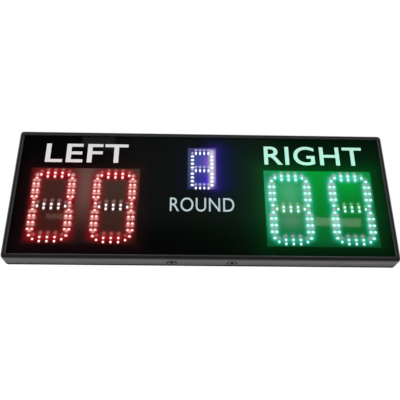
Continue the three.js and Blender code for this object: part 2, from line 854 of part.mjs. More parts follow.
// A flat cable that steps up from the controller to a display board across the gap between them.
// Its outline is drawn along its run and up from the boards, then turned to where it goes.
function ribbon(gap, landing, run) {
  const low = controllerFront + fitGap;
  const high = circuitFront + fitGap;
  const line = [
    [-landing, low],
    [ribbonThickness, low],
    [gap - ribbonThickness, high],
    [gap + landing, high],
  ];
  const back = line.map(([along, level]) => [along, level + ribbonThickness]).reverse();
  const shape = new THREE.Shape([...line, ...back].map(([u, v]) => new THREE.Vector2(u, v)));
  const geometry = new THREE.ExtrudeGeometry(shape, { depth: ribbonWidth, bevelEnabled: false });
  const up = new THREE.Vector3(0, 0, 1);
  const basis = new THREE.Matrix4().makeBasis(run, up, new THREE.Vector3().crossVectors(run, up));
  return geometry.translate(0, 0, -ribbonWidth / 2).applyMatrix4(basis);
}

function addRibbons() {
  const left = ribbon(controllerSideGap, ribbonLanding, new THREE.Vector3(-1, 0, 0));
  const right = ribbon(controllerSideGap, ribbonLanding, new THREE.Vector3(1, 0, 0));
  const centre = ribbon(controllerTopGap, smallRibbonLanding, new THREE.Vector3(0, 1, 0));
  add("ribbon_left", solid(left.translate(-controllerEdgeX, ribbonY, 0)), materials.ribbon);
  add("ribbon_right", solid(right.translate(controllerEdgeX, ribbonY, 0)), materials.ribbon);
  add("ribbon_centre", solid(centre.translate(0, controllerTop, 0)), materials.ribbon);
}

// Side panel: a snap-in plate in the right rail that carries the inlet, the rocker and the button

function sideBlock(y, length, breadth, inner, outer) {
  const low = sideCentreZ - breadth / 2;
  return block([inner, y - length / 2, low], [outer, y + length / 2, low + breadth]);
}

// A body turned round a line along x, from a profile of [radius, x] points
function sideTurned(y, profile, steps) {
  const points = profile.map(([radius, x]) => new THREE.Vector2(radius, x));
  const geometry = new THREE.LatheGeometry(points, steps).rotateZ(-Math.PI / 2);
  return solid(geometry.translate(0, y, sideCentreZ));
}

function sideRod(y, radius, inner, outer, steps) {
  const profile = [
    [0, inner],
    [radius, inner],
    [radius, outer],
    [0, outer],
  ];
  return sideTurned(y, profile, steps);
}

function sideCut() {
  const inner = sideFlangeFace - overrun;
  return sideBlock(sideCentreY, sideCutLength, sideCutBreadth, inner, boardWidth / 2 + overrun);
}

const jackY = sideCentreY + jackOffset;
const buttonY = sideCentreY + buttonOffset;
const capBack = sideFlangeBack - fitGap - buttonFlangeThickness;
const tactFront = capBack - buttonTravel - fitGap - tactStemHeight;
const tactBoardFront = tactFront - tactHeight;
const tactBoardBack = tactBoardFront - tactBoardThickness;
const rockerPivotX = boardWidth / 2 - rockerSetback;

function addSidePanel() {
  const plateLength = sideCutLength - 2 * fitGap;
  const plateBreadth = sideCutBreadth - 2 * fitGap;
  const flangeLength = sideCutLength + 2 * sideFlangeLap;
  const inner = sideFlangeBack - overrun;
  const outer = sideFace + overrun;
  const rockerCut = [rockerHousingLength + 2 * fitGap, rockerHousingBreadth + 2 * fitGap];
  const armReach = buttonFlangeRadius + fitGap + tactArmThickness / 2;
  const arms = [-armReach, armReach].map((offset) => {
    return sideBlock(buttonY + offset, tactArmThickness, tactArmBreadth, tactBoardBack, sideFlangeFace);
  });
  const panel = cut(
    join(
      sideBlock(sideCentreY, plateLength, plateBreadth, sideFlangeBack, sideFace),
      sideBlock(sideCentreY, flangeLength, sideFlangeBreadth, sideFlangeBack, sideFlangeFace),
      ...arms,
    ),
    sideRod(jackY, jackBushRadius + fitGap, inner, outer, roundSteps),
    sideBlock(sideCentreY, ...rockerCut, inner, outer),
    sideRod(buttonY, buttonRadius + fitGap, inner, outer, roundSteps),
  );
  add("side_panel", panel, materials.plastic);
}

function addPowerInlet() {
  const socketFloor = sideFace - jackSocketDepth;
  const pinRoot = socketFloor - jackPinRadius;
  const shell = join(
    sideBlock(jackY, jackBodySize, jackBodySize, jackBack, jackFront),
    sideRod(jackY, jackBushRadius, jackFront - jackBushRadius, sideFace, roundSteps),
  );
  const socket = sideRod(jackY, jackSocketRadius, socketFloor, sideFace + overrun, roundSteps);
  const pin = sideRod(jackY, jackPinRadius, pinRoot, sideFace - jackPinRecess, smallRoundSteps);
  add("power_inlet", join(cut(shell, socket), pin), materials.plastic);
}

// The rocker rests with its upper end pressed in, and turns about a pin along z
function addRocker() {
  const inner = sideFace - rockerHousingDepth;
  const cavityLength = rockerHousingLength - 2 * rockerHousingWall;
  const cavityBreadth = rockerHousingBreadth - 2 * rockerHousingWall;
  const size = [rockerHousingLength, rockerHousingBreadth];
  const floor = sideFace - rockerCavityDepth;
  const pinHole = rod(
    rockerPinRadius + fitGap,
    sideCentreZ - rockerHousingBreadth,
    sideCentreZ + rockerHousingBreadth,
    smallRoundSteps,
    rockerPivotX,
    sideCentreY,
  );
  const housing = cut(
    sideBlock(sideCentreY, ...size, inner, sideFace),
    sideBlock(sideCentreY, cavityLength, cavityBreadth, floor, sideFace + overrun),
    pinHole,
  );
  add("rocker_housing", housing, materials.plastic);

  const half = rockerLength / 2;
  const corners = [
    [-rockerSkirt, -half / 2],
    [0, -half],
    [rockerRise, -half],
    [rockerDip, 0],
    [rockerRise, half],
    [0, half],
    [-rockerSkirt, half / 2],
  ];
  const breadth = cavityBreadth - 2 * fitGap;
  const shape = new THREE.Shape(corners.map(([x, y]) => new THREE.Vector2(x, y)));
  const key = new THREE.ExtrudeGeometry(shape, { depth: breadth, bevelEnabled: false });
  const pinEnd = breadth / 2 + rockerPinReach;
  const pin = rod(rockerPinRadius, -pinEnd, pinEnd, smallRoundSteps);
  const rocker = add("power_rocker", join(solid(key.translate(0, 0, -breadth / 2)), pin), materials.plastic);
  rocker.position.set(rockerPivotX, sideCentreY, sideCentreZ);
  rocker.rotation.z = THREE.MathUtils.degToRad(rockerTiltDegrees);
}

// A capped push button in front of a small switch on its own board, held by the side panel's arms
function addPairingButton() {
  const capFront = sideFace + buttonProud;
  const flangeFace = capBack + buttonFlangeThickness;
  const cap = sideTurned(
    buttonY,
    [
      [0, capBack],
      [buttonFlangeRadius, capBack],
      [buttonFlangeRadius, flangeFace],
      [buttonRadius, flangeFace],
      [buttonRadius, capFront - buttonEdge],
      [buttonRadius - buttonEdge, capFront],
      [0, capFront],
    ],
    roundSteps,
  );
  add("pairing_button", cap, materials.plastic);
  const boardLength = 2 * buttonFlangeRadius;
  const tact = join(
    sideBlock(buttonY, boardLength, tactArmBreadth, tactBoardBack, tactBoardFront),
    sideBlock(buttonY, tactSize, tactSize, tactBoardFront, tactFront),
    sideRod(buttonY, tactStemRadius, tactFront, tactFront + tactStemHeight, smallRoundSteps),
  );
  add("button_switch", tact, materials.module);
}

// Leads from the side panel's parts, behind the right display board, to the controller's terminals
function lead(start, end, runLevel) {
  const middleX = (start[0] + end[0]) / 2;
  const middleY = (start[1] + end[1]) / 2;
  const points = [
    [start[0], start[1], start[2]],
    [start[0] - leadBend / 2, start[1], start[2]],
    [start[0] - 2 * leadBend, start[1], runLevel],
    [middleX, middleY, runLevel],
    [end[0] + controllerSideGap, end[1], runLevel],
    [end[0] + leadBend / 2, end[1], end[2]],
    [end[0], end[1], end[2]],
  ];
  const path = new THREE.CatmullRomCurve3(points.map((point) => new THREE.Vector3(...point)));
  const corners = Array.from({ length: leadSides }, (_, side) => {
    const angle = (side / leadSides) * 2 * Math.PI;
    return new THREE.Vector2(leadRadius * Math.cos(angle), leadRadius * Math.sin(angle));
  });
  const round = new THREE.Shape(corners);
  const options = { steps: leadSteps, extrudePath: path, bevelEnabled: false };
  return solid(new THREE.ExtrudeGeometry(round, options));
}

function addLeads() {
  const endX = controllerEdgeX + fitGap;
  const pitch = terminalLength * leadPitchShare;
  const endLevel = controllerFront + 2 * leadRadius;
  const runLevel = (coverThickness + circuitBack) / 2;
  const rockerBack = sideFace - rockerHousingDepth - fitGap;
  const starts = {
    inlet_lead: [jackBack - fitGap, jackY, runLevel],
    rocker_lead: [rockerBack, sideCentreY, runLevel],
    button_lead: [tactBoardBack - fitGap, buttonY, runLevel],
  };
  Object.entries(starts).forEach(([name, start], index) => {
    const end = [endX, terminalY + (index - 1) * pitch, endLevel];
    add(name, lead(start, end, runLevel), materials.lead);
  });
}

const face = new THREE.Group();
face.name = "face_frame";

function add(name, body, material) {
  const mesh = new THREE.Mesh(geometryOf(body), material);
  mesh.name = name;
  face.add(mesh);
  return mesh;
}

addRails();
addCornerKeys();
addStandFixing();
addFront();
addRearCover();
addDisplayBoards();
addLampArrays();
addController();
addRibbons();
addSidePanel();
addPowerInlet();
addRocker();
addPairingButton();
addLeads();

// Stand the face frame upright: its y becomes +Z and its z, towards the viewer, becomes -Y
const scoreboard = new THREE.Group();
scoreboard.name = "scoreboard";
face.rotation.x = Math.PI / 2;
scoreboard.add(face);

export default scoreboard;
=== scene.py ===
import math

import bmesh
import bpy
import numpy as np
from mathutils import Matrix, Vector


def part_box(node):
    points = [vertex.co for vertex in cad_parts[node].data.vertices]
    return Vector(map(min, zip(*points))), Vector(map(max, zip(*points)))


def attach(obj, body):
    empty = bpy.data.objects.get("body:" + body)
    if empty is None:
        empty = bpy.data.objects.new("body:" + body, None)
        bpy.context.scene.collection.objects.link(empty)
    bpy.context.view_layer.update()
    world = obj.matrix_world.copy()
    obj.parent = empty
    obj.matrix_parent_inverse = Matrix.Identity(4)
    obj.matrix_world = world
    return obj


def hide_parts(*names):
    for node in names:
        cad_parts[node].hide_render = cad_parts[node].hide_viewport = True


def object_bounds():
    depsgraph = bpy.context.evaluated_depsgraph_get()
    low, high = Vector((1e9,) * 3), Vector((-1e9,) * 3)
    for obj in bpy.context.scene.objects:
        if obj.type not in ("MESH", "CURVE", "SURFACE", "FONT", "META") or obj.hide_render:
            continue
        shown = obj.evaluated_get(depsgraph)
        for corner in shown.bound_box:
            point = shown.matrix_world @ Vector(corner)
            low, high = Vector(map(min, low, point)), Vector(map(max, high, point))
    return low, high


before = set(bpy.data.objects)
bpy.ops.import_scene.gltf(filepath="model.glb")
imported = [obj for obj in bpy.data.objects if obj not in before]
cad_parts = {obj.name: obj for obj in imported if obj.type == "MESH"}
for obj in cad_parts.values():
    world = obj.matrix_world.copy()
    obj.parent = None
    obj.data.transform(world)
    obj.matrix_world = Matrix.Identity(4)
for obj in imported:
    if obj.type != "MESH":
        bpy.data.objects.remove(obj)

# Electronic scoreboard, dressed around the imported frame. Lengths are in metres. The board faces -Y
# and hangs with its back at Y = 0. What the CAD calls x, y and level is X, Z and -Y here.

cad_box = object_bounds()
MM = 0.001


def srgb(red, green, blue, strength=1.0):
    """A colour given as 0 to 255, as linear values."""
    shares = [value / 255 for value in (red, green, blue)]
    linear = [s / 12.92 if s <= 0.04045 else ((s + 0.055) / 1.055) ** 2.4 for s in shares]
    return tuple(strength * value for value in linear)


def middle_of(low, high):
    return (low + high) / 2


BLACK = (0.0, 0.0, 0.0)
WHITE = (1.0, 1.0, 1.0)

# Camera: below the board and in front of it, looking up, as the photograph was taken
CAMERA_PLACE = Vector((-0.020505, -0.677036, -0.333783))
CAMERA_FORWARD = Vector((0.024291, 0.895742, 0.443910))
CAMERA_RIGHT = Vector((0.999634, -0.027040, -0.000140))
CAMERA_LENS = 50.19
CAMERA_SENSOR = 36
CAMERA_NEAREST = 0.01

# Staging: heights and reaches are from the middle of the board's back
FLOOR_HEIGHT = -0.9
FLOOR_SIZE = 14
CARD_HEIGHT = FLOOR_HEIGHT + 0.05
CARD_LOW = (-3, -4)
CARD_HIGH = (3, -0.1)

# Room: levels, and where its parts begin and end as directions from the board
SKY_LEVEL = 0.62  # what the room sheds on plain surfaces
CURTAIN_LEVEL = 0.03  # what shows in gloss from the dark side of the room, behind the camera
ROOM_LEVEL = 0.12  # how much brighter that side is higher up in the middle
CURTAIN_SIDE = (-0.45, 0.25)  # from the curtain to the white background
ROOM_BOTTOM = (0.38, 0.43)
ROOM_LEFT = (-0.2, -0.08)
ROOM_RIGHT = (0.12, 0.19)

# Softboxes that face the board's middle: place, size, level
SOFTBOXES = {
    "key_lamp": ((-0.9, -1.5, 1.3), (1.0, 1.0), 2.2),
    "fill_lamp": ((1.3, -1.4, 0.5), (0.8, 0.8), 1.2),
    "back_lamp": ((0.5, 1.6, 1.0), (1.0, 1.0), 1.6),
}

# Lights that the panel mirrors, as the photograph shows
MIRRORED_LIGHTS = {
    "right_strip_light": {
        "place": (0.707, -1.79, 0.757),
        "target": (0.176, 0, -0.04),
        "size": (0.215, 0.04),
        "level": 3.2,
        "colour": (1.0, 0.84, 0.95),
        "roll": -8,
    },
    "left_strip_light": {
        "place": (-0.63, -1.79, 0.771),
        "target": (-0.184, 0, -0.035),
        "size": (0.108, 0.024),
        "level": 2.2,
        "colour": (1.0, 0.6, 0.4),
        "roll": 4,
    },
    "upper_light": {
        "place": (-0.47, -1.79, 1.197),
        "target": (-0.15, 0, 0.08),
        "size": (0.16, 0.08),
        "level": 0.36,
    },
}

# Front panel: the share of what lies behind it that shows through
PANEL_CLEAR = 0.5
PANEL_PASS = PANEL_CLEAR**2  # light passes the panel's back and its front


def new_object(name, data):
    piece = bpy.data.objects.new(name, data)
    bpy.context.scene.collection.objects.link(piece)
    return piece


def place_camera():
    data = bpy.data.cameras.new("camera")
    data.lens = CAMERA_LENS
    data.sensor_width = CAMERA_SENSOR
    data.clip_start = CAMERA_NEAREST
    camera = new_object("camera", data)
    forward = CAMERA_FORWARD.normalized()
    right = (CAMERA_RIGHT - forward * CAMERA_RIGHT.dot(forward)).normalized()
    turn = Matrix((right, right.cross(forward), -forward)).transposed()
    camera.matrix_world = Matrix.Translation(CAMERA_PLACE) @ turn.to_4x4()
    bpy.context.scene.camera = camera


NOISE_LOW = 0.3  # most of a noise's values lie between these
NOISE_HIGH = 0.7


class Nodes:
    """Short calls for building a shader's nodes."""

    def __init__(self, tree):
        self.tree = tree
        tree.nodes.clear()

    def add(self, kind, settings=None, **inputs):
        node = self.tree.nodes.new(kind)
        for name, value in (settings or {}).items():
            setattr(node, name, value)
        for name, value in inputs.items():
            self.put(node, name.replace("_", " "), value)
        return node

    def put(self, node, name, value):
        socket = node.inputs[name]
        if isinstance(value, bpy.types.NodeSocket):
            self.tree.links.new(value, socket)
        elif isinstance(value, tuple) and len(value) == 3 and socket.type == "RGBA":
            socket.default_value = (*value, 1)
        else:
            socket.default_value = value

    def math(self, operation, *values):
        node = self.add("ShaderNodeMath", {"operation": operation})
        for index, value in enumerate(values):
            self.put(node, index, value)
        return node.outputs[0]

    def times(self, first, *others):
        for value in others:
            first = self.math("MULTIPLY", first, value)
        return first

    def past(self, value, edge):
        """How far a value lies past an edge on either side of zero."""
        return self.math("SUBTRACT", self.math("ABSOLUTE", value), edge)

    def distance(self, across, along):
        squares = self.math("ADD", self.times(across, across), self.times(along, along))
        return self.math("SQRT", squares)

    def mix(self, factor, first, second, kind="RGBA", blend="MIX"):
        """A mix of two colours, or of two values when the kind is FLOAT."""
        node = self.add("ShaderNodeMix", {"data_type": kind, "blend_type": blend})
        low, result = {"FLOAT": (2, 0), "RGBA": (6, 2)}[kind]
        self.put(node, 0, factor)
        self.put(node, low, first)
        self.put(node, low + 1, second)
        return node.outputs[result]

    def layer(self, colour, *layers):
        """A colour with others laid over it, each with its share."""
        for share, tint in layers:
            colour = self.mix(share, colour, tint)
        return colour

    def ramp(self, factor, first, second, low=NOISE_LOW, high=NOISE_HIGH):
        """A colour that runs from first to second as a value runs from low to high."""
        node = self.tree.nodes.new("ShaderNodeValToRGB")
        self.put(node, 0, factor)
        stops = ((low, first), (high, second))
        for element, (place, colour) in zip(node.color_ramp.elements, stops):
            element.position = place
            element.color = (*colour, 1)
        return node.outputs[0]

    def span(self, value, low, high, start=0.0, end=1.0):
        """A value that runs softly from start to end as another runs from low to high."""
        node = self.add("ShaderNodeMapRange", {"interpolation_type": "SMOOTHSTEP"}, Value=value)
        numbers = {"From Min": low, "From Max": high, "To Min": start, "To Max": end}
        for name, number in numbers.items():
            self.put(node, name, number)
        return node.outputs[0]

    def fall(self, value, low, high):
        return self.span(value, low, high, 1.0, 0.0)

    def vary(self, noise, start, end):
        return self.span(noise, NOISE_LOW, NOISE_HIGH, start, end)

    def place(self):
        """The point on the object, in metres."""
        return self.add("ShaderNodeTexCoord").outputs["Object"]

    def split(self, vector):
        return self.add("ShaderNodeSeparateXYZ", Vector=vector).outputs

    def noise(self, vector, size, detail=3.0, stretch=None):
        """Noise whose features are about size across."""
        if stretch:
            vector = self.add("ShaderNodeMapping", Vector=vector, Scale=stretch).outputs[0]
        node = self.add("ShaderNodeTexNoise", Vector=vector, Scale=1 / size, Detail=detail)
        return node.outputs["Fac"]

    def bump(self, height, distance, strength, normal=None):
        node = self.add("ShaderNodeBump", Height=height, Distance=distance, Strength=strength)
        if normal is not None:
            self.put(node, "Normal", normal)
        return node.outputs[0]

    def glow(self, uneven):
        """The light of the lamps, as a mesh's glow says, times a value near one."""
        light = self.add("ShaderNodeAttribute", {"attribute_name": "glow"}).outputs["Color"]
        level = self.add("ShaderNodeCombineXYZ", X=uneven, Y=uneven, Z=uneven).outputs[0]
        return self.mix(1.0, light, level, blend="MULTIPLY")


def light_the_room():
    """White all round, but gloss sees a dark curtain and a dim room behind the camera."""
    world = bpy.data.worlds.new("room")
    bpy.context.scene.world = world
    world.use_nodes = True
    n = Nodes(world.node_tree)
    path = n.add("ShaderNodeLightPath").outputs
    direction = n.split(n.add("ShaderNodeTexCoord").outputs["Generated"])
    high = n.span(direction["Z"], *ROOM_BOTTOM)
    middle = n.times(n.span(direction["X"], *ROOM_LEFT), n.fall(direction["X"], *ROOM_RIGHT))
    dark_side = n.math("MULTIPLY_ADD", n.times(high, middle), ROOM_LEVEL, CURTAIN_LEVEL)
    mirrored = n.mix(n.fall(direction["Y"], *CURTAIN_SIDE), 1.0, dark_side, "FLOAT")
    in_gloss = n.math("MAXIMUM", path["Is Glossy Ray"], path["Is Transmission Ray"])
    level = n.mix(in_gloss, SKY_LEVEL, mirrored, "FLOAT")
    level = n.mix(path["Is Camera Ray"], level, 1.0, "FLOAT")
    shade = n.add("ShaderNodeBackground", Color=WHITE, Strength=level)
    n.add("ShaderNodeOutputWorld", Surface=shade.outputs[0])


def area_lamp(name, place, size, level, target=(0, 0, 0), colour=WHITE, roll=0.0, mirrored=False):
    """A softbox whose face is as bright as level. A mirrored one only shows in gloss."""
    width, height = size
    data = bpy.data.lights.new(name, "AREA")
    data.shape = "RECTANGLE"
    data.size = width
    data.size_y = height
    data.energy = level * math.pi * width * height
    data.color = colour
    lamp = new_object(name, data)
    aim = (Vector(target) - Vector(place)).to_track_quat("-Z", "Y").to_matrix().to_4x4()
    turn = Matrix.Rotation(math.radians(roll), 4, "Z")
    lamp.matrix_world = Matrix.Translation(place) @ aim @ turn
    lamp.visible_camera = False
    lamp.visible_glossy = mirrored
    lamp.visible_diffuse = not mirrored


def light_the_board():
    for name, softbox in SOFTBOXES.items():
        area_lamp(name, *softbox)
    for name, light in MIRRORED_LIGHTS.items():
        area_lamp(name, **light, mirrored=True)


def stage_sheet(name, height, low, high, material):
    """A level sheet of the staging, between two corners."""
    mesh = bpy.data.meshes.new(name)
    corners = ((low[0], low[1]), (high[0], low[1]), (high[0], high[1]), (low[0], high[1]))
    mesh.from_pydata([(x, y, height) for x, y in corners], [], [(0, 1, 2, 3)])
    sheet = link(mesh, material)
    return sheet


def lay_floor():
    material, n = new_material("floor_paper")
    colour = n.ramp(n.noise(n.place(), 0.4), srgb(240, 240, 241), srgb(245, 245, 246))
    finish(n, colour, roughness=0.9, specular=0.0)
    half = FLOOR_SIZE / 2
    stage_sheet("floor", FLOOR_HEIGHT, (-half, -half), (half, half), material)


def lay_black_card():
    """A card over the floor that only gloss sees. It keeps the frame's front edge dark."""
    material, n = new_material("black_card")
    finish(n, srgb(8, 8, 8), roughness=1.0, specular=0.0)
    card = stage_sheet("black_card", CARD_HEIGHT, CARD_LOW, CARD_HIGH, material)
    for ray in ("camera", "diffuse", "shadow", "transmission", "volume_scatter"):
        setattr(card, "visible_" + ray, False)


# Materials

EDGE_SAMPLES = 6
EDGE_TURN = (0.995, 0.8)  # how well the rounded normal matches, where wear begins and is full
WEAR_SIZE = 3 * MM
WEAR_PATCHES = (0.45, 0.7)  # the noise's values between which wear sets in


def new_material(name):
    """A material whose glow lights nothing by itself, which keeps the picture free of noise."""
    material = bpy.data.materials.new(name)
    material.use_nodes = True
    material.cycles.emission_sampling = "NONE"
    return material, Nodes(material.node_tree)


def finish(
    n, colour, roughness, specular=0.5, metallic=0.0, normal=None, emission=None, clear=None
):
    """Ends a material with one Principled shader, which a clear one may be mixed with."""
    shader = n.add("ShaderNodeBsdfPrincipled", Base_Color=colour, Roughness=roughness)
    n.put(shader, "Specular IOR Level", specular)
    n.put(shader, "Metallic", metallic)
    if normal is not None:
        n.put(shader, "Normal", normal)
    if emission is not None:
        n.put(shader, "Emission Color", emission)
        n.put(shader, "Emission Strength", 1.0)
    surface = shader.outputs[0]
    if clear is not None:
        through = n.add("ShaderNodeBsdfTransparent", Color=WHITE)
        mixed = n.add("ShaderNodeMixShader", Fac=1 - clear)
        n.put(mixed, 1, through.outputs[0])
        n.put(mixed, 2, surface)
        surface = mixed.outputs[0]
    n.add("ShaderNodeOutputMaterial", Surface=surface)


def edge_wear(n, reach, share):
    """A normal that rounds the edges, and how worn a point is: more where they turn, in patches."""
    rounded = n.add("ShaderNodeBevel", {"samples": EDGE_SAMPLES}, Radius=reach).outputs[0]
    true = n.add("ShaderNodeNewGeometry").outputs["True Normal"]
    match = n.add("ShaderNodeVectorMath", {"operation": "DOT_PRODUCT"})
    n.put(match, 0, rounded)
    n.put(match, 1, true)
    turn = n.span(match.outputs["Value"], *EDGE_TURN)
    patches = n.span(n.noise(n.place(), WEAR_SIZE), *WEAR_PATCHES)
    return rounded, n.times(turn, patches, share)


def scratches(n, place, size):
    """Fine scratches that run mostly one way."""
    return n.noise(place, size, detail=4.0, stretch=(1.0, 0.15, 4.0))


BEZEL_WIDTH = 6.5 * MM  # of the frame's face
FACE_DEPTH = 1 * MM  # how far behind a face a point still counts as on it
# The bright line along the lip is a painted highlight
LIP_HIGHLIGHT_FADE = (1.2 * MM, 2.4 * MM)  # where it fades, outwards from the bezel's inner edge
LIP_HIGHLIGHT_SHARE = 0.38
# A painted sheen: lighter colour on the front of the bottom rail's underside
SHEEN_PLACE = (-16 * MM, -10 * MM)  # where it fades, towards the wall
SHEEN_SHARE = 0.8
# Painted shade on the underside, near the wall and at the rims of the stand screws' seats
NEAR_WALL = ((-20 * MM, -8 * MM, 0.2), (-7 * MM, -3 * MM, 0.8))  # two shades that add up
RIM_INSIDE = (-0.2 * MM, 0.3 * MM)  # of the dark rim, from the edge of a stand screw's head
RIM_OUTSIDE = (1.8 * MM, 2.8 * MM)
RIM_BACK_SHARE = 0.4
SOCKET_SHADE_EDGE = (2.5 * MM, 3 * MM)
SCREW_GLOSS = 0.6


def from_screw(n, parts):
    """How far points are from the axis of the nearest stand screw, and how far behind it."""
    middle = middle_of(*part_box("stand_screw_right"))
    aside = n.past(parts["X"], middle.x)
    behind = n.math("SUBTRACT", parts["Y"], middle.y)
    return n.distance(aside, behind), behind


def painted_lip_highlight(n, parts):
    """Where a painted highlight runs round the panel, as a bright line on the face of the frame's
    lip.
    """
    low, high = cad_box
    across = n.past(parts["X"], high.x - BEZEL_WIDTH)
    along = n.past(parts["Z"], high.z - BEZEL_WIDTH)
    line = n.fall(n.math("MAXIMUM", across, along), *LIP_HIGHLIGHT_FADE)
    return n.times(line, n.math("LESS_THAN", parts["Y"], low.y + FACE_DEPTH))


def underside_shade(n, parts):
    """Painted shade on the underside, round the seats of the stand screws and near the wall."""
    low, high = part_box("stand_screw_right")
    radius = (high.x - low.x) / 2
    away, behind = from_screw(n, parts)
    inside = n.span(away, *(radius + reach for reach in RIM_INSIDE))
    outside = n.fall(away, *(radius + reach for reach in RIM_OUTSIDE))
    rim = n.times(inside, outside, n.span(behind, -radius, radius, 1.0, RIM_BACK_SHARE))
    first, last = (n.span(parts["Y"], start, end, 0.0, share) for start, end, share in NEAR_WALL)
    return n.math("MAXIMUM", rim, n.math("ADD", first, last))


def rail_material():
    """Black satin anodised aluminium: a fine drawn grain, slight mottling and slightly worn edges,
    whose lighter grey is also a painted edge highlight.

    A painted highlight runs along the lip. The underside has a painted sheen in front, and painted
    shade round the stand screws' seats and towards the wall.
    """
    material, n = new_material("anodised_rail")
    place = n.place()
    parts = n.split(place)
    grain = n.noise(place, 0.35 * MM, detail=2.0)
    mottle = n.noise(place, 9 * MM)
    # Worn edges: lighter for wear, and on this frame also a painted edge highlight
    rounded, worn = edge_wear(n, 0.9 * MM, 0.6)
    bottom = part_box("stand_screw_right")[0].z
    underside = n.math("LESS_THAN", parts["Z"], bottom + FACE_DEPTH)
    # Painted sheen at the front of the underside
    sheen = n.times(underside, n.span(parts["Y"], *SHEEN_PLACE, SHEEN_SHARE, 0.0))
    # Painted shade: near black round the screw seats and towards the wall
    shade = n.times(underside_shade(n, parts), underside)
    colour = n.layer(
        n.ramp(mottle, srgb(29, 29, 31), srgb(34, 34, 36)),
        (worn, srgb(104, 104, 110)),
        (n.times(painted_lip_highlight(n, parts), LIP_HIGHLIGHT_SHARE), srgb(96, 96, 100)),
        (sheen, srgb(60, 58, 64)),
        (shade, srgb(4, 4, 4)),
    )
    roughness = n.math("MULTIPLY_ADD", shade, 0.4, n.vary(mottle, 0.3, 0.38))
    specular = n.math("SUBTRACT", 1.0, shade)
    finish(n, colour, roughness, specular, normal=n.bump(grain, 0.02 * MM, 0.5, rounded))
    return material


def stand_screw_material():
    """Blackened steel like the other screws, with painted shade, near black, in and round its
    socket.
    """
    material, n = new_material("stand_screw_steel")
    place = n.place()
    lines = scratches(n, place, 1 * MM)
    away, _ = from_screw(n, n.split(place))
    # Painted shade: near black over the socket and just round it
    socket = n.fall(away, *SOCKET_SHADE_EDGE)
    colour = n.mix(socket, n.ramp(lines, srgb(74, 74, 77), srgb(92, 92, 95)), srgb(3, 3, 3))
    specular = n.math("MULTIPLY_ADD", socket, -SCREW_GLOSS, SCREW_GLOSS)
    finish(n, colour, 0.4, specular, normal=n.bump(lines, 0.02 * MM, 0.4))
    return material


def metal_material(name, dark, light, roughness, scratch_size):
    """Plated steel: fine scratches over a slightly clouded metal."""
    material, n = new_material(name)
    place = n.place()
    lines = scratches(n, place, scratch_size)
    colour = n.ramp(n.noise(place, 6 * MM), dark, light)
    rough = n.vary(lines, roughness - 0.06, roughness + 0.08)
    finish(n, colour, rough, metallic=1.0, normal=n.bump(lines, 0.02 * MM, 0.4))
    return material


def plastic_material(name, dark, light, pit_size, pit_depth, roughness):
    """Moulded plastic with a spark-eroded texture and lighter, rubbed edges."""
    material, n = new_material(name)
    place = n.place()
    pits = n.noise(place, pit_size, detail=2.0)
    rounded, worn = edge_wear(n, 0.4 * MM, 0.35)
    colour = n.mix(worn, n.ramp(n.noise(place, 40 * MM), dark, light), srgb(92, 92, 94))
    rough = n.vary(pits, roughness - 0.06, roughness + 0.06)
    finish(n, colour, rough, specular=0.4, normal=n.bump(pits, pit_depth, 0.7, rounded))
    return material


def panel_material():
    """Smoked acrylic: half clear, and so smooth that only a faint haze of fine marks shows."""
    material, n = new_material("smoked_acrylic")
    marks = n.noise(n.place(), 14 * MM, detail=5.0)
    roughness = n.span(marks, 0.35, 0.75, 0.028, 0.036)
    finish(n, srgb(3, 3, 4), roughness, clear=PANEL_CLEAR)
    return material


TRACK_PATTERN = 9.6 * MM
WEAVE_RANGE = (0.35, 0.65)


def circuit_material(name, board, copper, glow=False):
    """Solder resist over copper tracks and woven glass, lit by the lamps if glow."""
    material, n = new_material(name)
    place = n.place()
    turn = (math.pi / 2, 0.0, 0.0)
    turned = n.add("ShaderNodeMapping", Vector=place, Rotation=turn).outputs[0]
    brick = n.add("ShaderNodeTexBrick", {"offset": 0.37}, Vector=turned, Scale=1 / TRACK_PATTERN)
    n.put(brick, "Mortar Size", 0.035)
    n.put(brick, "Mortar Smooth", 0.2)
    tracks = brick.outputs["Fac"]
    weave = n.noise(place, 0.5 * MM, detail=1.0)
    resist = n.ramp(weave, board, tuple(1.15 * value for value in board), *WEAVE_RANGE)
    colour = n.mix(n.times(tracks, 0.6), resist, copper)
    emission = n.glow(n.span(tracks, 0.0, 1.0, 0.97, 1.06)) if glow else None
    relief = n.bump(tracks, 0.03 * MM, 0.6)
    finish(n, colour, 0.42, specular=0.4, normal=relief, emission=emission)
    return material


def glow_material(name, base, roughness, speckle):
    """Plastic with a slight speckle, lit by the lamps as its mesh's glow says."""
    material, n = new_material(name)
    grain = n.noise(n.place(), speckle, detail=1.0)
    emission = n.glow(n.vary(grain, 0.94, 1.06))
    finish(n, base, roughness, normal=n.bump(grain, 0.02 * MM, 0.3), emission=emission)
    return material


def print_material(name, ink, bottom, height, foot, top):
    """Screen-printed satin ink with a fine mesh of thinner spots, lit by the lamps."""
    material, n = new_material(name)
    place = n.place()
    mesh = n.noise(place, 0.4 * MM, detail=1.0)
    light = n.mix(n.fall(n.split(place)["Z"], bottom, bottom + height), top, foot)
    colour = n.ramp(mesh, tuple(0.9 * value for value in ink), ink, high=0.55)
    finish(n, colour, 0.45, specular=0.4, normal=n.bump(mesh, 0.01 * MM, 0.4), emission=light)
    return material


CORE_PITCH = 1.27 * MM


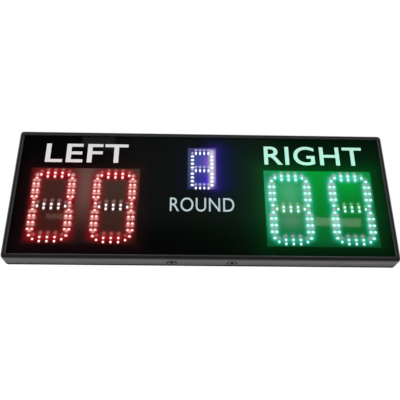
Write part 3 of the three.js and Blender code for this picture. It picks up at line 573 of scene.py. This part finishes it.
def ribbon_material():
    """Grey flat cable, with one fine ridge for each of its cores, and painted shade in the grooves.
    """
    material, n = new_material("flat_cable")
    place = n.place()
    parts = n.split(place)
    across = n.math("ADD", parts["X"], parts["Z"])
    ridges = n.math("SINE", n.times(across, 2 * math.pi / CORE_PITCH))
    colour = n.ramp(n.noise(place, 4 * MM), srgb(128, 131, 134), srgb(146, 149, 152))
    # Painted shade: darker in the grooves between the cores
    colour = n.mix(n.span(ridges, -1.0, -0.4, 0.35, 0.0), colour, srgb(84, 86, 90))
    finish(n, colour, 0.5, normal=n.bump(ridges, 0.2 * MM, 0.6))
    return material


def lead_material():
    """Red insulated wire with a faint extrusion grain."""
    material, n = new_material("red_wire")
    grain = n.noise(n.place(), 1.2 * MM, stretch=(0.1, 1.0, 1.0))
    colour = n.ramp(grain, srgb(134, 24, 24), srgb(152, 32, 30))
    finish(n, colour, 0.4, normal=n.bump(grain, 0.03 * MM, 0.3))
    return material


# Meshes

def places_of(points):
    return np.array([point.co for point in points])


def link(mesh, material):
    """Makes a piece of a mesh, under the same name."""
    mesh.materials.append(material)
    return new_object(mesh.name, mesh)


GRID_DECIMALS = 7  # edges that agree this far are one


def lines_between(edges, step):
    """Grid lines through all the edges, with even ones between them no more than step apart."""
    edges = sorted({round(edge, GRID_DECIMALS) for edge in edges})
    lines = [edges[0]]
    for low, high in zip(edges, edges[1:]):
        count = max(1, math.ceil((high - low) / step))
        lines += [low + (high - low) * (index + 1) / count for index in range(count)]
    return np.array(lines)


def filled_cells(xs, zs, areas, holes):
    """Which cells of a grid lie in some rectangles and in none of the holes."""
    x = middle_of(xs[:-1], xs[1:])[:, None]
    z = middle_of(zs[:-1], zs[1:])

    def within(boxes):
        found = np.zeros((len(x), len(z)), bool)
        for low_x, high_x, low_z, high_z in boxes:
            found |= (x > low_x) & (x < high_x) & (z > low_z) & (z < high_z)
        return found

    return within(areas) & ~within(holes)


def cell_corners(i, j):
    return (i, j), (i + 1, j), (i + 1, j + 1), (i, j + 1)


CELLS_BESIDE = ((0, -1), (1, 0), (0, 1), (-1, 0))  # in the order of a cell's corners


def plate_mesh(name, areas, back, front, step, holes=()):
    """A closed plate over the union of some rectangles, less square holes, as a fine grid.

    Each rectangle is (low x, high x, low z, high z). The plate faces -Y.
    """
    xs = lines_between([edge for area in (*areas, *holes) for edge in area[:2]], step)
    zs = lines_between([edge for area in (*areas, *holes) for edge in area[2:]], step)
    filled = filled_cells(xs, zs, areas, holes)
    cells = list(zip(*np.nonzero(filled)))
    bm = bmesh.new()
    layers = []
    for level in (front, back):
        corners = dict.fromkeys(corner for cell in cells for corner in cell_corners(*cell))
        layers.append({(i, j): bm.verts.new((xs[i], level, zs[j])) for i, j in corners})
    near, far = layers
    padded = np.pad(filled, 1)
    for i, j in cells:
        corners = cell_corners(i, j)
        bm.faces.new([near[corner] for corner in corners])
        bm.faces.new([far[corner] for corner in reversed(corners)])
        for side, (step_i, step_j) in enumerate(CELLS_BESIDE):
            if not padded[i + 1 + step_i, j + 1 + step_j]:
                start = corners[side]
                end = corners[(side + 1) % 4]
                bm.faces.new([near[end], near[start], far[start], far[end]])
    mesh = bpy.data.meshes.new(name)
    bm.to_mesh(mesh)
    bm.free()
    return mesh


def set_glow(mesh, light):
    """Keeps the light on each of a mesh's points, as bright as it must be behind the panel."""
    glow = np.ones((len(light), 4), np.float32)
    glow[:, :3] = light / PANEL_PASS
    mesh.attributes.new("glow", "FLOAT_COLOR", "POINT").data.foreach_set("color", glow.ravel())


def light_front(mesh, light_at):
    """Lights the front of a plate with what a function says for its points."""
    places = places_of(mesh.vertices)
    front = places[:, 1] < places[:, 1].mean()
    set_glow(mesh, front[:, None] * light_at(places))


# Digits: the CAD's lamp arrays, redrawn with lit lamps

LAMP_BEVEL = 0.25 * MM
LENS_HEIGHT = 0.35 * MM
LENS_SIDES = 16
LENS_RINGS = 8
STRIP_THICKNESS = 0.4 * MM
STRIP_STEP = 1.0 * MM
PAIR_SHARE = 0.52  # of the way from a large segment's middle to its tip lamps
PAIR_SPREAD = 2.75 * MM  # of a pair's lamps, each from the segment's line
ROW_SHARE = 0.43  # the pitch of a small segment's lamps over half its length
HALO_RISE_SHARE = 0.45  # of the ghosts' rise
RISE_FALL = 0.0145  # how much less the ghosts are raised for each unit of height


def large_lamps(tip):
    """Places of a segment's lamps, along it and across it: three pairs, and one at each tip."""
    steps = (-tip * PAIR_SHARE, 0, tip * PAIR_SHARE)
    pairs = [(along, side * PAIR_SPREAD) for along in steps for side in (-1, 1)]
    return [*pairs, (-tip, 0), (tip, 0)]


def small_lamps(tip):
    return [(tip * ROW_SHARE * step / 2, 0) for step in (-3, -1, 1, 3)]


# Sizes of a large digit and of the small one
LARGE = {
    "strip_width": 11 * MM,
    "strip_inset": 2.9 * MM,  # from a segment's end to its strip's
    "tip_inset": 5.2 * MM,  # from a segment's end to its tip lamp and its halo's end
    "trim": 0.3 * MM,  # how much closer its uprights stand than in the CAD
    "lamps": large_lamps,
    "lamp": (4.4 * MM, 3 * MM),  # across and along a segment
    "lens": 1.45 * MM,
    "ghost": 1.5 * MM,
    "bloom": 2.2 * MM,
}
SMALL = {
    "strip_width": 6 * MM,
    "strip_inset": 2 * MM,
    "tip_inset": 0.0,
    "trim": 0.0,
    "lamps": small_lamps,
    "lamp": (4.6 * MM, 2.4 * MM),
    "lens": 1.1 * MM,
    "ghost": 1.1 * MM,
    "bloom": 1.5 * MM,
}

# Styles: the light of a digit's strips, lenses and packages, of the halo along a segment, of the
# bloom round a lamp and of its ghost, which is its reflection in the panel and rises above it.
# A segment's own entries come before the digit's.
RED_UPRIGHT = {
    "lens": srgb(255, 218, 212, 1.35),
    "package": srgb(238, 122, 118),
    "bloom": srgb(88, 8, 14),
    "ghost": srgb(255, 190, 184),
    "ghost_share": 0.95,
}
RED = {
    "rise": 6.3 * MM,
    "strip": srgb(34, 16, 17),
    "lens": srgb(255, 240, 236, 1.5),
    "package": srgb(226, 112, 110),
    "halo": srgb(142, 6, 18),
    "halo_reach": 5.0 * MM,
    "bloom": srgb(110, 14, 20),
    "ghost": srgb(204, 108, 108),
    "ghost_share": 0.8,
    "left": RED_UPRIGHT,
    "right": RED_UPRIGHT,
    "bottom": {
        "lens": srgb(255, 232, 228, 1.4),
        "package": srgb(168, 60, 62),
        "bloom": srgb(62, 8, 12),
    },
    # The middle segment is not lit: its light is painted, mostly the room's light reflected in its
    # clear lamps
    "middle": {
        "package": srgb(172, 156, 152),
        "halo": srgb(40, 18, 18),
        "bloom": srgb(70, 38, 36),
        "ghost": srgb(166, 118, 116),
    },
}
GREEN = {
    "rise": 5.3 * MM,
    "strip": srgb(36, 136, 98),
    "lens": srgb(214, 255, 250, 1.4),
    "package": srgb(150, 232, 214),
    "halo": srgb(16, 176, 136),
    "halo_reach": 4.5 * MM,
    "bloom": srgb(92, 176, 160),
    "ghost": srgb(194, 176, 188),
    "ghost_share": 0.9,
    "bottom": {
        "package": srgb(96, 190, 168),
        "bloom": srgb(50, 120, 104),
    },
    # The middle segment is not lit: its light is painted, mostly the room's light reflected in its
    # clear lamps
    "middle": {
        "package": srgb(158, 226, 186),
        "halo": srgb(76, 142, 108),
        "halo_reach": 5.5 * MM,
        "bloom": srgb(70, 110, 82),
        "ghost": srgb(136, 204, 146),
        "ghost_share": 0.75,
    },
}
VIOLET = {
    "rise": 6.2 * MM,
    "strip": srgb(30, 32, 104),
    "lens": srgb(246, 248, 255, 1.8),
    "package": srgb(226, 232, 255),
    "halo": srgb(40, 46, 110),
    "halo_reach": 2.4 * MM,
    "bloom": srgb(84, 90, 190),
    "ghost": srgb(206, 200, 252),
    "ghost_share": 0.95,
    "left": {
        "halo": srgb(62, 72, 104),
        "halo_reach": 1.6 * MM,
        "bloom": srgb(70, 78, 130),
    },
    "right": {
        "package": srgb(246, 242, 250),
        "halo": srgb(210, 204, 222),
        "halo_reach": 2.7 * MM,
        "bloom": srgb(96, 92, 104),
        "ghost_share": 0.0,
    },
}
# The digit at the far right has a dimmer painted reflection on its unlit middle segment
GREEN_ONES = {
    **GREEN,
    "middle": {
        **GREEN["middle"],
        "package": srgb(120, 214, 158),
        "halo": srgb(8, 110, 42),
        "bloom": srgb(40, 96, 56),
        "ghost": srgb(132, 214, 150),
    },
}

# Each side's slot, the grid step of its board, and its digits: name, size, style, and how far it
# stands across and up from its CAD node, as in the photograph
SIDES = {
    "left": ("red_lamps", 1.2 * MM, [
        ("left_tens", LARGE, RED, (-0.5 * MM, 0.0)),
        ("left_ones", LARGE, RED, (-1.2 * MM, -0.4 * MM)),
    ]),
    "right": ("green_lamps", 1.2 * MM, [
        ("right_tens", LARGE, GREEN, (2.4 * MM, -0.4 * MM)),
        ("right_ones", LARGE, GREEN_ONES, (2.2 * MM, 0.2 * MM)),
    ]),
    "centre": ("violet_lamps", 0.8 * MM, [("centre", SMALL, VIOLET, (0.4 * MM, 0.2 * MM))]),
}


class Digit:
    """A seven-segment digit, laid out within the box of its CAD lamp array."""

    def __init__(self, name, size, style, shift):
        self.name = name
        self.node = "lamp_array_" + name
        self.size = size
        self.style = style
        low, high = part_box(self.node)
        self.back = high.y
        self.front = low.y
        self.x = middle_of(low.x, high.x) + shift[0]
        self.z = middle_of(low.z, high.z) + shift[1]
        self.reach = (high.x - low.x - size["strip_width"]) / 2 - size["trim"]
        self.pitch = (high.z - low.z - size["strip_width"]) / 2
        self.segments = list(self.list_segments())

    def list_segments(self):
        for name, rise in (("top", 1), ("middle", 0), ("bottom", -1)):
            yield self.segment(name, self.x, self.z + rise * self.pitch, self.reach)
        for rise in (0.5, -0.5):
            for name, side in (("left", -1), ("right", 1)):
                x = self.x + side * self.reach
                z = self.z + rise * self.pitch
                yield self.segment(name, x, z, self.pitch / 2, upright=True)

    def segment(self, name, x, z, half, upright=False):
        """A segment's strip and line as rectangles, the places of its lamps, and how it looks."""

        def lay(along, across):
            return (-across, along) if upright else (along, across)

        def rectangle(along, across):
            reach_x, reach_z = (abs(reach) for reach in lay(along, across))
            return x - reach_x, x + reach_x, z - reach_z, z + reach_z

        tip = half - self.size["tip_inset"]
        steps = [lay(*place) for place in self.size["lamps"](tip)]
        return {
            "strip": rectangle(half - self.size["strip_inset"], self.size["strip_width"] / 2),
            "line": rectangle(tip, 0.0),
            "lamps": [(x + step_x, z + step_z) for step_x, step_z in steps],
            "upright": upright,
            "look": {**self.style, **self.style.get(name, {})},
        }

    def ghost_of(self, x, z):
        """Where the ghost of a lamp shows. It is raised less higher up."""
        return x, z + self.style["rise"] - RISE_FALL * (z - self.z)


def outside(places, area):
    """How far points lie outside a rectangle, or from a line when it has no width."""
    x = places[:, 0]
    z = places[:, 2]
    return np.hypot(x - x.clip(*area[:2]), z - z.clip(*area[2:]))


def spot(places, middle, reach):
    """The shares of a soft spot round a place in x and z. It is oval when it has two reaches."""
    away = (places[:, (0, 2)] - middle) / reach
    return np.exp(-(away**2).sum(1) / 2)[:, None]


def cover(light, share, colour):
    return light * (1 - share) + share * colour


def add_digit(digit, places, light):
    """Lays a digit's light over the light on some points.

    A halo runs just above each segment, a bloom lies round each lamp, and above it is its ghost.
    """
    shaded = np.zeros((len(places), 1))
    halo = np.zeros((len(places), 3))
    lowered = places - (0.0, 0.0, HALO_RISE_SHARE * digit.style["rise"])
    for segment in digit.segments:
        look = segment["look"]
        away = outside(lowered, segment["line"]) / look["halo_reach"]
        fade = np.exp(-(away**2) / 2)[:, None]
        shaded = np.maximum(shaded, fade)
        halo = np.maximum(halo, fade * look["halo"])
    light = light * (1 - shaded) + halo
    lamps = [(lamp, segment["look"]) for segment in digit.segments for lamp in segment["lamps"]]
    for lamp, look in lamps:
        light = light + spot(places, lamp, digit.size["bloom"]) * look["bloom"]
    for lamp, look in lamps:
        share = look["ghost_share"] * spot(places, digit.ghost_of(*lamp), digit.size["ghost"])
        light = cover(light, share, look["ghost"])
    return light


def add_patches(patches, places, light):
    """Lays soft oval patches over the light on some points."""
    for middle, reach, colour, strength in patches:
        share = strength * spot(places / MM, middle, reach)
        light = cover(light, share, colour)
    return light


def strip_light(digit, over):
    """What lights a digit's strips: its own light, with its board's upper patches over it."""

    def light_at(places):
        plain = np.tile(digit.style["strip"], (len(places), 1))
        return add_patches(over, places, add_digit(digit, places, plain))

    return light_at


def board_light(digits, corners, under, over):
    """What lights a board: a tint between its corners, patches, the digits, more patches."""

    def light_at(places):
        low = places.min(0)
        shares = (places - low) / (places.max(0) - low)
        right = shares[:, :1]
        up = shares[:, 2:]
        bottom_left, bottom_right, top_left, top_right = (np.array(corner) for corner in corners)
        bottom = cover(bottom_left, right, bottom_right)
        top = cover(top_left, right, top_right)
        light = add_patches(under, places, cover(bottom, up, top))
        for digit in digits:
            light = add_digit(digit, places, light)
        return add_patches(over, places, light)

    return light_at


def lamp_shape(digit, depth):
    """One lamp whose top is at the origin: points, faces, and which points are on its lens.

    It is a bevelled package with a domed lens on it. It faces -Y, and is longer along X.
    """
    bm = bmesh.new()
    width, length = digit.size["lamp"]
    radius = digit.size["lens"]
    bmesh.ops.create_cube(bm, size=1.0)
    bmesh.ops.scale(bm, vec=(width, depth, length), verts=bm.verts)
    bmesh.ops.translate(bm, vec=(0.0, depth / 2, 0.0), verts=bm.verts)
    front = [edge for edge in bm.edges if all(end.co.y < depth / 2 for end in edge.verts)]
    bmesh.ops.bevel(bm, geom=front, offset=LAMP_BEVEL, segments=2, affect="EDGES", profile=0.5)
    dome = bmesh.ops.create_uvsphere(
        bm, u_segments=LENS_SIDES, v_segments=LENS_RINGS, radius=radius
    )["verts"]
    bmesh.ops.rotate(bm, matrix=Matrix.Rotation(math.pi / 2, 3, "X"), verts=dome)
    bmesh.ops.scale(bm, vec=(1.0, LENS_HEIGHT / radius, 1.0), verts=dome)
    bm.verts.index_update()
    on_lens = {vert.index for vert in dome}
    points = places_of(bm.verts)
    faces = [[vert.index for vert in face.verts] for face in bm.faces]
    lens = np.array([vert.index in on_lens for vert in bm.verts])
    bm.free()
    return points, faces, lens


def lamp_mesh(name, digit, strip_front):
    """All the lamps of a digit, each with the light of its package and of its lens. On an unlit
    segment, this light is a painted reflection of the room's light.
    """
    top = digit.front + LENS_HEIGHT
    shape, shape_faces, lens = lamp_shape(digit, strip_front - top)
    turned = shape[:, (2, 1, 0)] * (-1, 1, 1)
    points = []
    faces = []
    light = []
    for segment in digit.segments:
        look = segment["look"]
        colours = np.where(lens[:, None], look["lens"], look["package"])
        for x, z in segment["lamps"]:
            start = len(points) * len(shape)
            points.append((shape if segment["upright"] else turned) + (x, top, z))
            faces += [[start + index for index in face] for face in shape_faces]
            light.append(colours)
    mesh = bpy.data.meshes.new(name)
    mesh.from_pydata(np.concatenate(points).tolist(), [], faces)
    set_glow(mesh, np.concatenate(light))
    return mesh


def build_digit(digit, over, slot, strip_look, lamp_look):
    name = "digit_" + digit.name
    strip_front = digit.back - STRIP_THICKNESS
    strips = [segment["strip"] for segment in digit.segments]
    plate = plate_mesh(name + "_strip", strips, digit.back, strip_front, STRIP_STEP)
    light_front(plate, strip_light(digit, over))
    strip = link(plate, strip_look)
    lamps = link(lamp_mesh(name + "_lamps", digit, strip_front), lamp_look)
    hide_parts(digit.node)
    for piece in (strip, lamps):
        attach(piece, "board")


HOLE_INSET = 3.6 * MM  # from a display board's edges to a hole's middle
HOLE_HALF = 1.8 * MM


def screw_holes(low, high):
    """Square places where a display board's four screws go through."""
    return [
        (x - HOLE_HALF, x + HOLE_HALF, z - HOLE_HALF, z + HOLE_HALF)
        for x in (low.x + HOLE_INSET, high.x - HOLE_INSET)
        for z in (low.z + HOLE_INSET, high.z - HOLE_INSET)
    ]


def build_board(side, digits, fill, step, look):
    node = "display_board_" + side
    low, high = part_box(node)
    areas = [(low.x, high.x, low.z, high.z)]
    holes = screw_holes(low, high)
    plate = plate_mesh("lit_board_" + side, areas, high.y, low.y, step, holes)
    light_front(plate, board_light(digits, **fill))
    board = link(plate, look)
    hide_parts(node)
    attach(board, "board")


# Light between the lamps: the colours of a board's corners (bottom left and right, top left and
# right), and soft patches under and over the digits' light. A patch has a middle and a reach in
# millimetres, a colour and a share. The dark patches along the windows' edges are painted shade.
FILLS = {
    "left": {
        "corners": (srgb(62, 17, 13), srgb(56, 32, 26), srgb(68, 33, 30), srgb(60, 50, 40)),
        "under": [
            ((-155, 16), (10, 32), srgb(106, 72, 68), 1.0),
            ((-156, -62), (11, 14), srgb(34, 18, 18), 0.9),
            ((-229, -17), (6, 60), srgb(84, 14, 12), 1.0),
        ],
        "over": [
            ((-156, -72), (90, 4), srgb(12, 4, 4), 0.99),
            ((-156, -48), (90, 16), srgb(40, 6, 8), 0.14),
            ((-82, -38), (4, 34), srgb(12, 6, 6), 0.97),
            ((-230, -17), (2.5, 60), srgb(30, 7, 7), 0.85),
            ((-80, -72), (13, 12), srgb(26, 11, 10), 0.95),
        ],
    },
    "right": {
        "corners": (srgb(2, 90, 36), srgb(2, 84, 34), srgb(5, 156, 52), srgb(4, 146, 48)),
        "under": [
            ((84, 4), (7, 32), srgb(40, 146, 108), 1.0),
            ((228, -25), (8, 45), srgb(10, 92, 50), 1.0),
            ((117.5, 8), (13, 17), srgb(66, 164, 113), 1.0),
            ((116.5, -52), (14, 8), srgb(4, 122, 76), 0.9),
            ((116.5, -34), (13, 8), srgb(74, 136, 102), 1.0),
            ((198, 19), (12, 7), srgb(0, 160, 58), 0.6),
        ],
        "over": [
            ((156, -72), (90, 4.6), srgb(2, 66, 28), 0.99),
            ((156, -62), (90, 12), srgb(4, 88, 50), 0.3),
            ((230, -45), (4, 40), srgb(5, 80, 42), 0.7),
            ((228, 34), (8, 8), srgb(5, 142, 60), 0.8),
            ((84, 34), (8, 8), srgb(28, 126, 88), 0.6),
            ((83, -69), (5, 9), srgb(12, 88, 52), 0.92),
        ],
    },
    "centre": {
        "corners": (srgb(36, 50, 72), srgb(46, 12, 176), srgb(58, 66, 92), srgb(90, 70, 168)),
        "under": [
            ((-5, 50), (5, 9), srgb(54, 74, 158), 1.0),
            ((7, 50), (4, 9), srgb(118, 80, 200), 1.0),
            ((-5, 22), (5, 8), srgb(32, 46, 132), 1.0),
            ((7, 20), (4, 8), srgb(62, 16, 192), 1.0),
            ((-17, 46), (3, 20), srgb(64, 72, 98), 1.0),
            ((-17, 16), (3, 12), srgb(40, 62, 82), 1.0),
        ],
        "over": [
            ((0, 10.5), (22, 2), srgb(22, 16, 74), 0.85),
            ((17, 14), (3.5, 5), srgb(40, 30, 140), 0.85),
        ],
    },
}


# Front: the mask's windows (middle and size) and the light that spills from them

LEFT_WINDOW = ((-156 * MM, -17.2 * MM), (145.5 * MM, 110.4 * MM))
RIGHT_WINDOW = ((156 * MM, -17.2 * MM), (145.5 * MM, 110.4 * MM))
SMALL_WINDOW = ((0.0, 40 * MM), (38.4 * MM, 64 * MM))

# How the spill runs over the mask: low and high in X or Z, and the shares there
SMALL_RIGHTWARD = (-8 * MM, 22 * MM, 0.07, 1.0)
SMALL_FOOT = (0.0, 15 * MM, 0.3, 1.0)
SMALL_TOP = (64 * MM, 84 * MM, 1.0, 0.35)
RIGHT_UPWARD = (-90 * MM, -20 * MM, 0.35, 1.0)


def beyond_window(n, parts, window):
    """How far a point lies outside a window."""
    reach = []
    for axis, centre, width in zip("XZ", *window):
        offset = n.past(n.math("SUBTRACT", parts[axis], centre), width / 2)
        reach.append(n.math("MAXIMUM", offset, 0.0))
    return n.distance(*reach)


def spill(n, distance, reach, colour, share=1.0):
    """Light that spreads from a window over the mask and dies away."""
    level = n.times(n.math("EXPONENT", n.math("DIVIDE", distance, -reach)), share)
    return n.mix(level, BLACK, tuple(value / PANEL_PASS for value in colour))


def mask_light(n, parts):
    """The light that leaks round the windows, on the front of the mask alone."""
    from_left = beyond_window(n, parts, LEFT_WINDOW)
    from_right = beyond_window(n, parts, RIGHT_WINDOW)
    from_small = beyond_window(n, parts, SMALL_WINDOW)
    upright = n.times(n.span(parts["Z"], *SMALL_FOOT), n.span(parts["Z"], *SMALL_TOP))
    beside = n.times(n.span(parts["X"], *SMALL_RIGHTWARD), upright)
    upward = n.span(parts["Z"], *RIGHT_UPWARD)
    light = spill(n, from_left, 8 * MM, srgb(26, 5, 7))
    for other in (
        spill(n, from_right, 12 * MM, srgb(1, 56, 12), upward),
        spill(n, from_right, 60 * MM, srgb(1, 29, 12), upward),
        spill(n, from_small, 10 * MM, srgb(24, 8, 116), beside),
        spill(n, from_small, 2.5 * MM, srgb(54, 24, 50), beside),
    ):
        light = n.mix(1.0, light, other, blend="ADD")
    middle = middle_of(*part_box("mask_sheet"))
    return n.mix(n.math("LESS_THAN", parts["Y"], middle.y), BLACK, light)


def mask_material():
    """Matt black film behind the panel."""
    material, n = new_material("black_mask")
    place = n.place()
    grain = n.noise(place, 0.3 * MM, detail=1.0)
    colour = n.ramp(grain, srgb(10, 10, 11), srgb(14, 14, 15))
    light = mask_light(n, n.split(place))
    finish(n, colour, 0.6, specular=0.3, normal=n.bump(grain, 0.01 * MM, 0.4), emission=light)
    return material


# Words printed on the panel. Middle and size are in millimetres. Foot and top are the lamps' light
# on the lower and the upper end.
WORDS = {
    "left_word": {
        "text": "LEFT",
        "middle": (-156.1, 59.5),
        "size": (111, 29.1),
        "weight": 0.012,
        "ink": srgb(248, 250, 252),
        "foot": srgb(90, 2, 3),
        "top": srgb(8, 4, 4),
    },
    "right_word": {
        "text": "RIGHT",
        "middle": (152.3, 59.7),
        "size": (135, 29.3),
        "weight": 0.01,
        "ink": srgb(212, 250, 238),
        "foot": srgb(16, 142, 106),
        "top": srgb(34, 116, 84),
    },
    "centre_word": {
        "text": "ROUND",
        "middle": (0, -16.2),
        "size": (84, 20),
        "weight": 0.0,
        "ink": srgb(212, 234, 239),
        "foot": srgb(4, 10, 14),
        "top": srgb(16, 18, 20),
    },
}
PRINT_THICKNESS = 0.08 * MM
LETTER_DEPTH = 0.5  # before a word is fitted
LETTER_STEPS = 6
LETTER_SPACING = 1.06
WELD_DISTANCE = 1e-5


def word_mesh(name, text, weight):
    """A word as a closed mesh, flat in XY and as large as its font."""
    curve = bpy.data.curves.new(name, "FONT")
    curve.body = text
    curve.offset = weight
    curve.extrude = LETTER_DEPTH
    curve.resolution_u = LETTER_STEPS
    curve.space_character = LETTER_SPACING
    source = new_object(name + "_source", curve)
    bpy.context.view_layer.update()
    shaped = source.evaluated_get(bpy.context.evaluated_depsgraph_get())
    mesh = bpy.data.meshes.new_from_object(shaped)
    bpy.data.objects.remove(source)
    mesh.name = name
    bm = bmesh.new()
    bm.from_mesh(mesh)
    # A curve's faces and sides come apart
    bmesh.ops.remove_doubles(bm, verts=bm.verts, dist=WELD_DISTANCE)
    bm.to_mesh(mesh)
    bm.free()
    return mesh


def print_word(name, text, middle, size, weight, ink, foot, top):
    """A printed word on the panel's front, fitted to its width and its height."""
    mesh = word_mesh(name, text, weight)
    places = places_of(mesh.vertices)
    low = places.min(0)
    high = places.max(0)
    # Shares of the width, the height and the depth, from the middle
    across, up, out = ((places - middle_of(low, high)) / (high - low)).T
    x = (middle[0] + across * size[0]) * MM
    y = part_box("front_panel")[0].y - PRINT_THICKNESS * (out + 0.5)
    z = (middle[1] + up * size[1]) * MM
    mesh.vertices.foreach_set("co", np.stack((x, y, z), 1).ravel())
    mesh.update()
    bottom = (middle[1] - size[1] / 2) * MM
    look = print_material(name + "_ink", ink, bottom, size[1] * MM, foot, top)
    word = link(mesh, look)
    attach(word, "board")


# Side panel: a trim ring over the joint between the rocker's housing and the panel

RING_LAP = 0.6 * MM  # beyond the housing
RING_SEAT = 0.45 * MM  # on the housing's wall
RING_HEIGHT = 0.4 * MM
RING_BEVEL = 0.12 * MM
RING_PROFILE = (  # away from the housing's edge, and above its face
    (RING_LAP, 0.0),
    (RING_LAP, RING_HEIGHT - RING_BEVEL),
    (RING_LAP - RING_BEVEL, RING_HEIGHT),
    (RING_BEVEL - RING_SEAT, RING_HEIGHT),
    (-RING_SEAT, RING_HEIGHT - RING_BEVEL),
    (-RING_SEAT, 0.0),
)


def build_rocker_ring(look):
    low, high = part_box("rocker_housing")
    points = []
    for aside, above in RING_PROFILE:
        x = high.x + above
        near, far = low.y - aside, high.y + aside
        bottom, top = low.z - aside, high.z + aside
        points += [(x, near, bottom), (x, far, bottom), (x, far, top), (x, near, top)]
    faces = []
    for start in range(0, len(points), 4):
        following = (start + 4) % len(points)
        for side in range(4):
            beside = (side + 1) % 4
            faces.append((start + side, start + beside, following + beside, following + side))
    mesh = bpy.data.meshes.new("rocker_ring")
    mesh.from_pydata(points, [], faces)
    ring = link(mesh, look)
    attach(ring, "board")


# The frame's own nodes

def named(*starts):
    return [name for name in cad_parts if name.startswith(starts)]


def dress(names, material):
    for name in names:
        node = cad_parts[name]
        if not node.material_slots:
            node.data.materials.append(material)
        for slot in node.material_slots:
            slot.material = material


def dress_front():
    dress(named("rail_"), rail_material())
    dress(named("stand_screw_"), stand_screw_material())
    dress(["front_panel"], panel_material())
    dress(["mask_sheet"], mask_material())


def dress_plastics():
    cover = plastic_material(
        "cover_plastic", srgb(27, 27, 29), srgb(33, 33, 35), 0.9 * MM, 0.05 * MM, 0.55
    )
    side = plastic_material(
        "side_plastic", srgb(19, 19, 20), srgb(24, 24, 25), 0.5 * MM, 0.03 * MM, 0.48
    )
    gloss = plastic_material(
        "key_plastic", srgb(16, 16, 17), srgb(20, 20, 21), 0.3 * MM, 0.01 * MM, 0.3
    )
    dress(["rear_cover"], cover)
    dress(["side_panel", "power_inlet", "rocker_housing", "buzzer"], side)
    dress(["power_rocker", "pairing_button"], gloss)
    build_rocker_ring(gloss)


def dress_inside():
    zinc = metal_material("zinc_plate", srgb(150, 152, 156), srgb(172, 174, 178), 0.42, 2 * MM)
    black = metal_material("blackened_steel", srgb(84, 84, 88), srgb(104, 104, 108), 0.36, 1 * MM)
    dress(named("corner_key_", "stand_bar"), zinc)
    dress(named("cover_screw_", "controller_screw_"), black)
    dress(named("left_board_screw_", "right_board_screw_", "centre_board_screw_"), black)
    circuit = circuit_material("green_circuit", srgb(22, 66, 40), srgb(70, 112, 62))
    dress(["controller_board", "receiver_module", "button_switch"], circuit)
    dress(named("ribbon_"), ribbon_material())
    dress(["inlet_lead", "rocker_lead", "button_lead"], lead_material())


def build_displays():
    board = circuit_material("display_circuit", srgb(20, 17, 16), srgb(44, 34, 28), glow=True)
    strip = glow_material("lamp_strip", srgb(16, 15, 15), 0.35, 0.8 * MM)
    lamp = glow_material("lamp_lens", srgb(60, 60, 60), 0.25, 0.5 * MM)
    for side, (slot, step, places) in SIDES.items():
        digits = [Digit(*place) for place in places]
        for digit in digits:
            build_digit(digit, FILLS[side]["over"], slot, strip, lamp)
        build_board(side, digits, FILLS[side], step, board)


def build():
    bpy.context.scene.view_settings.view_transform = "Standard"
    place_camera()
    light_the_room()
    light_the_board()
    lay_floor()
    lay_black_card()
    dress_front()
    dress_plastics()
    dress_inside()
    build_displays()
    for name, word in WORDS.items():
        print_word(name, **word)


build()
bpy.context.view_layer.update()
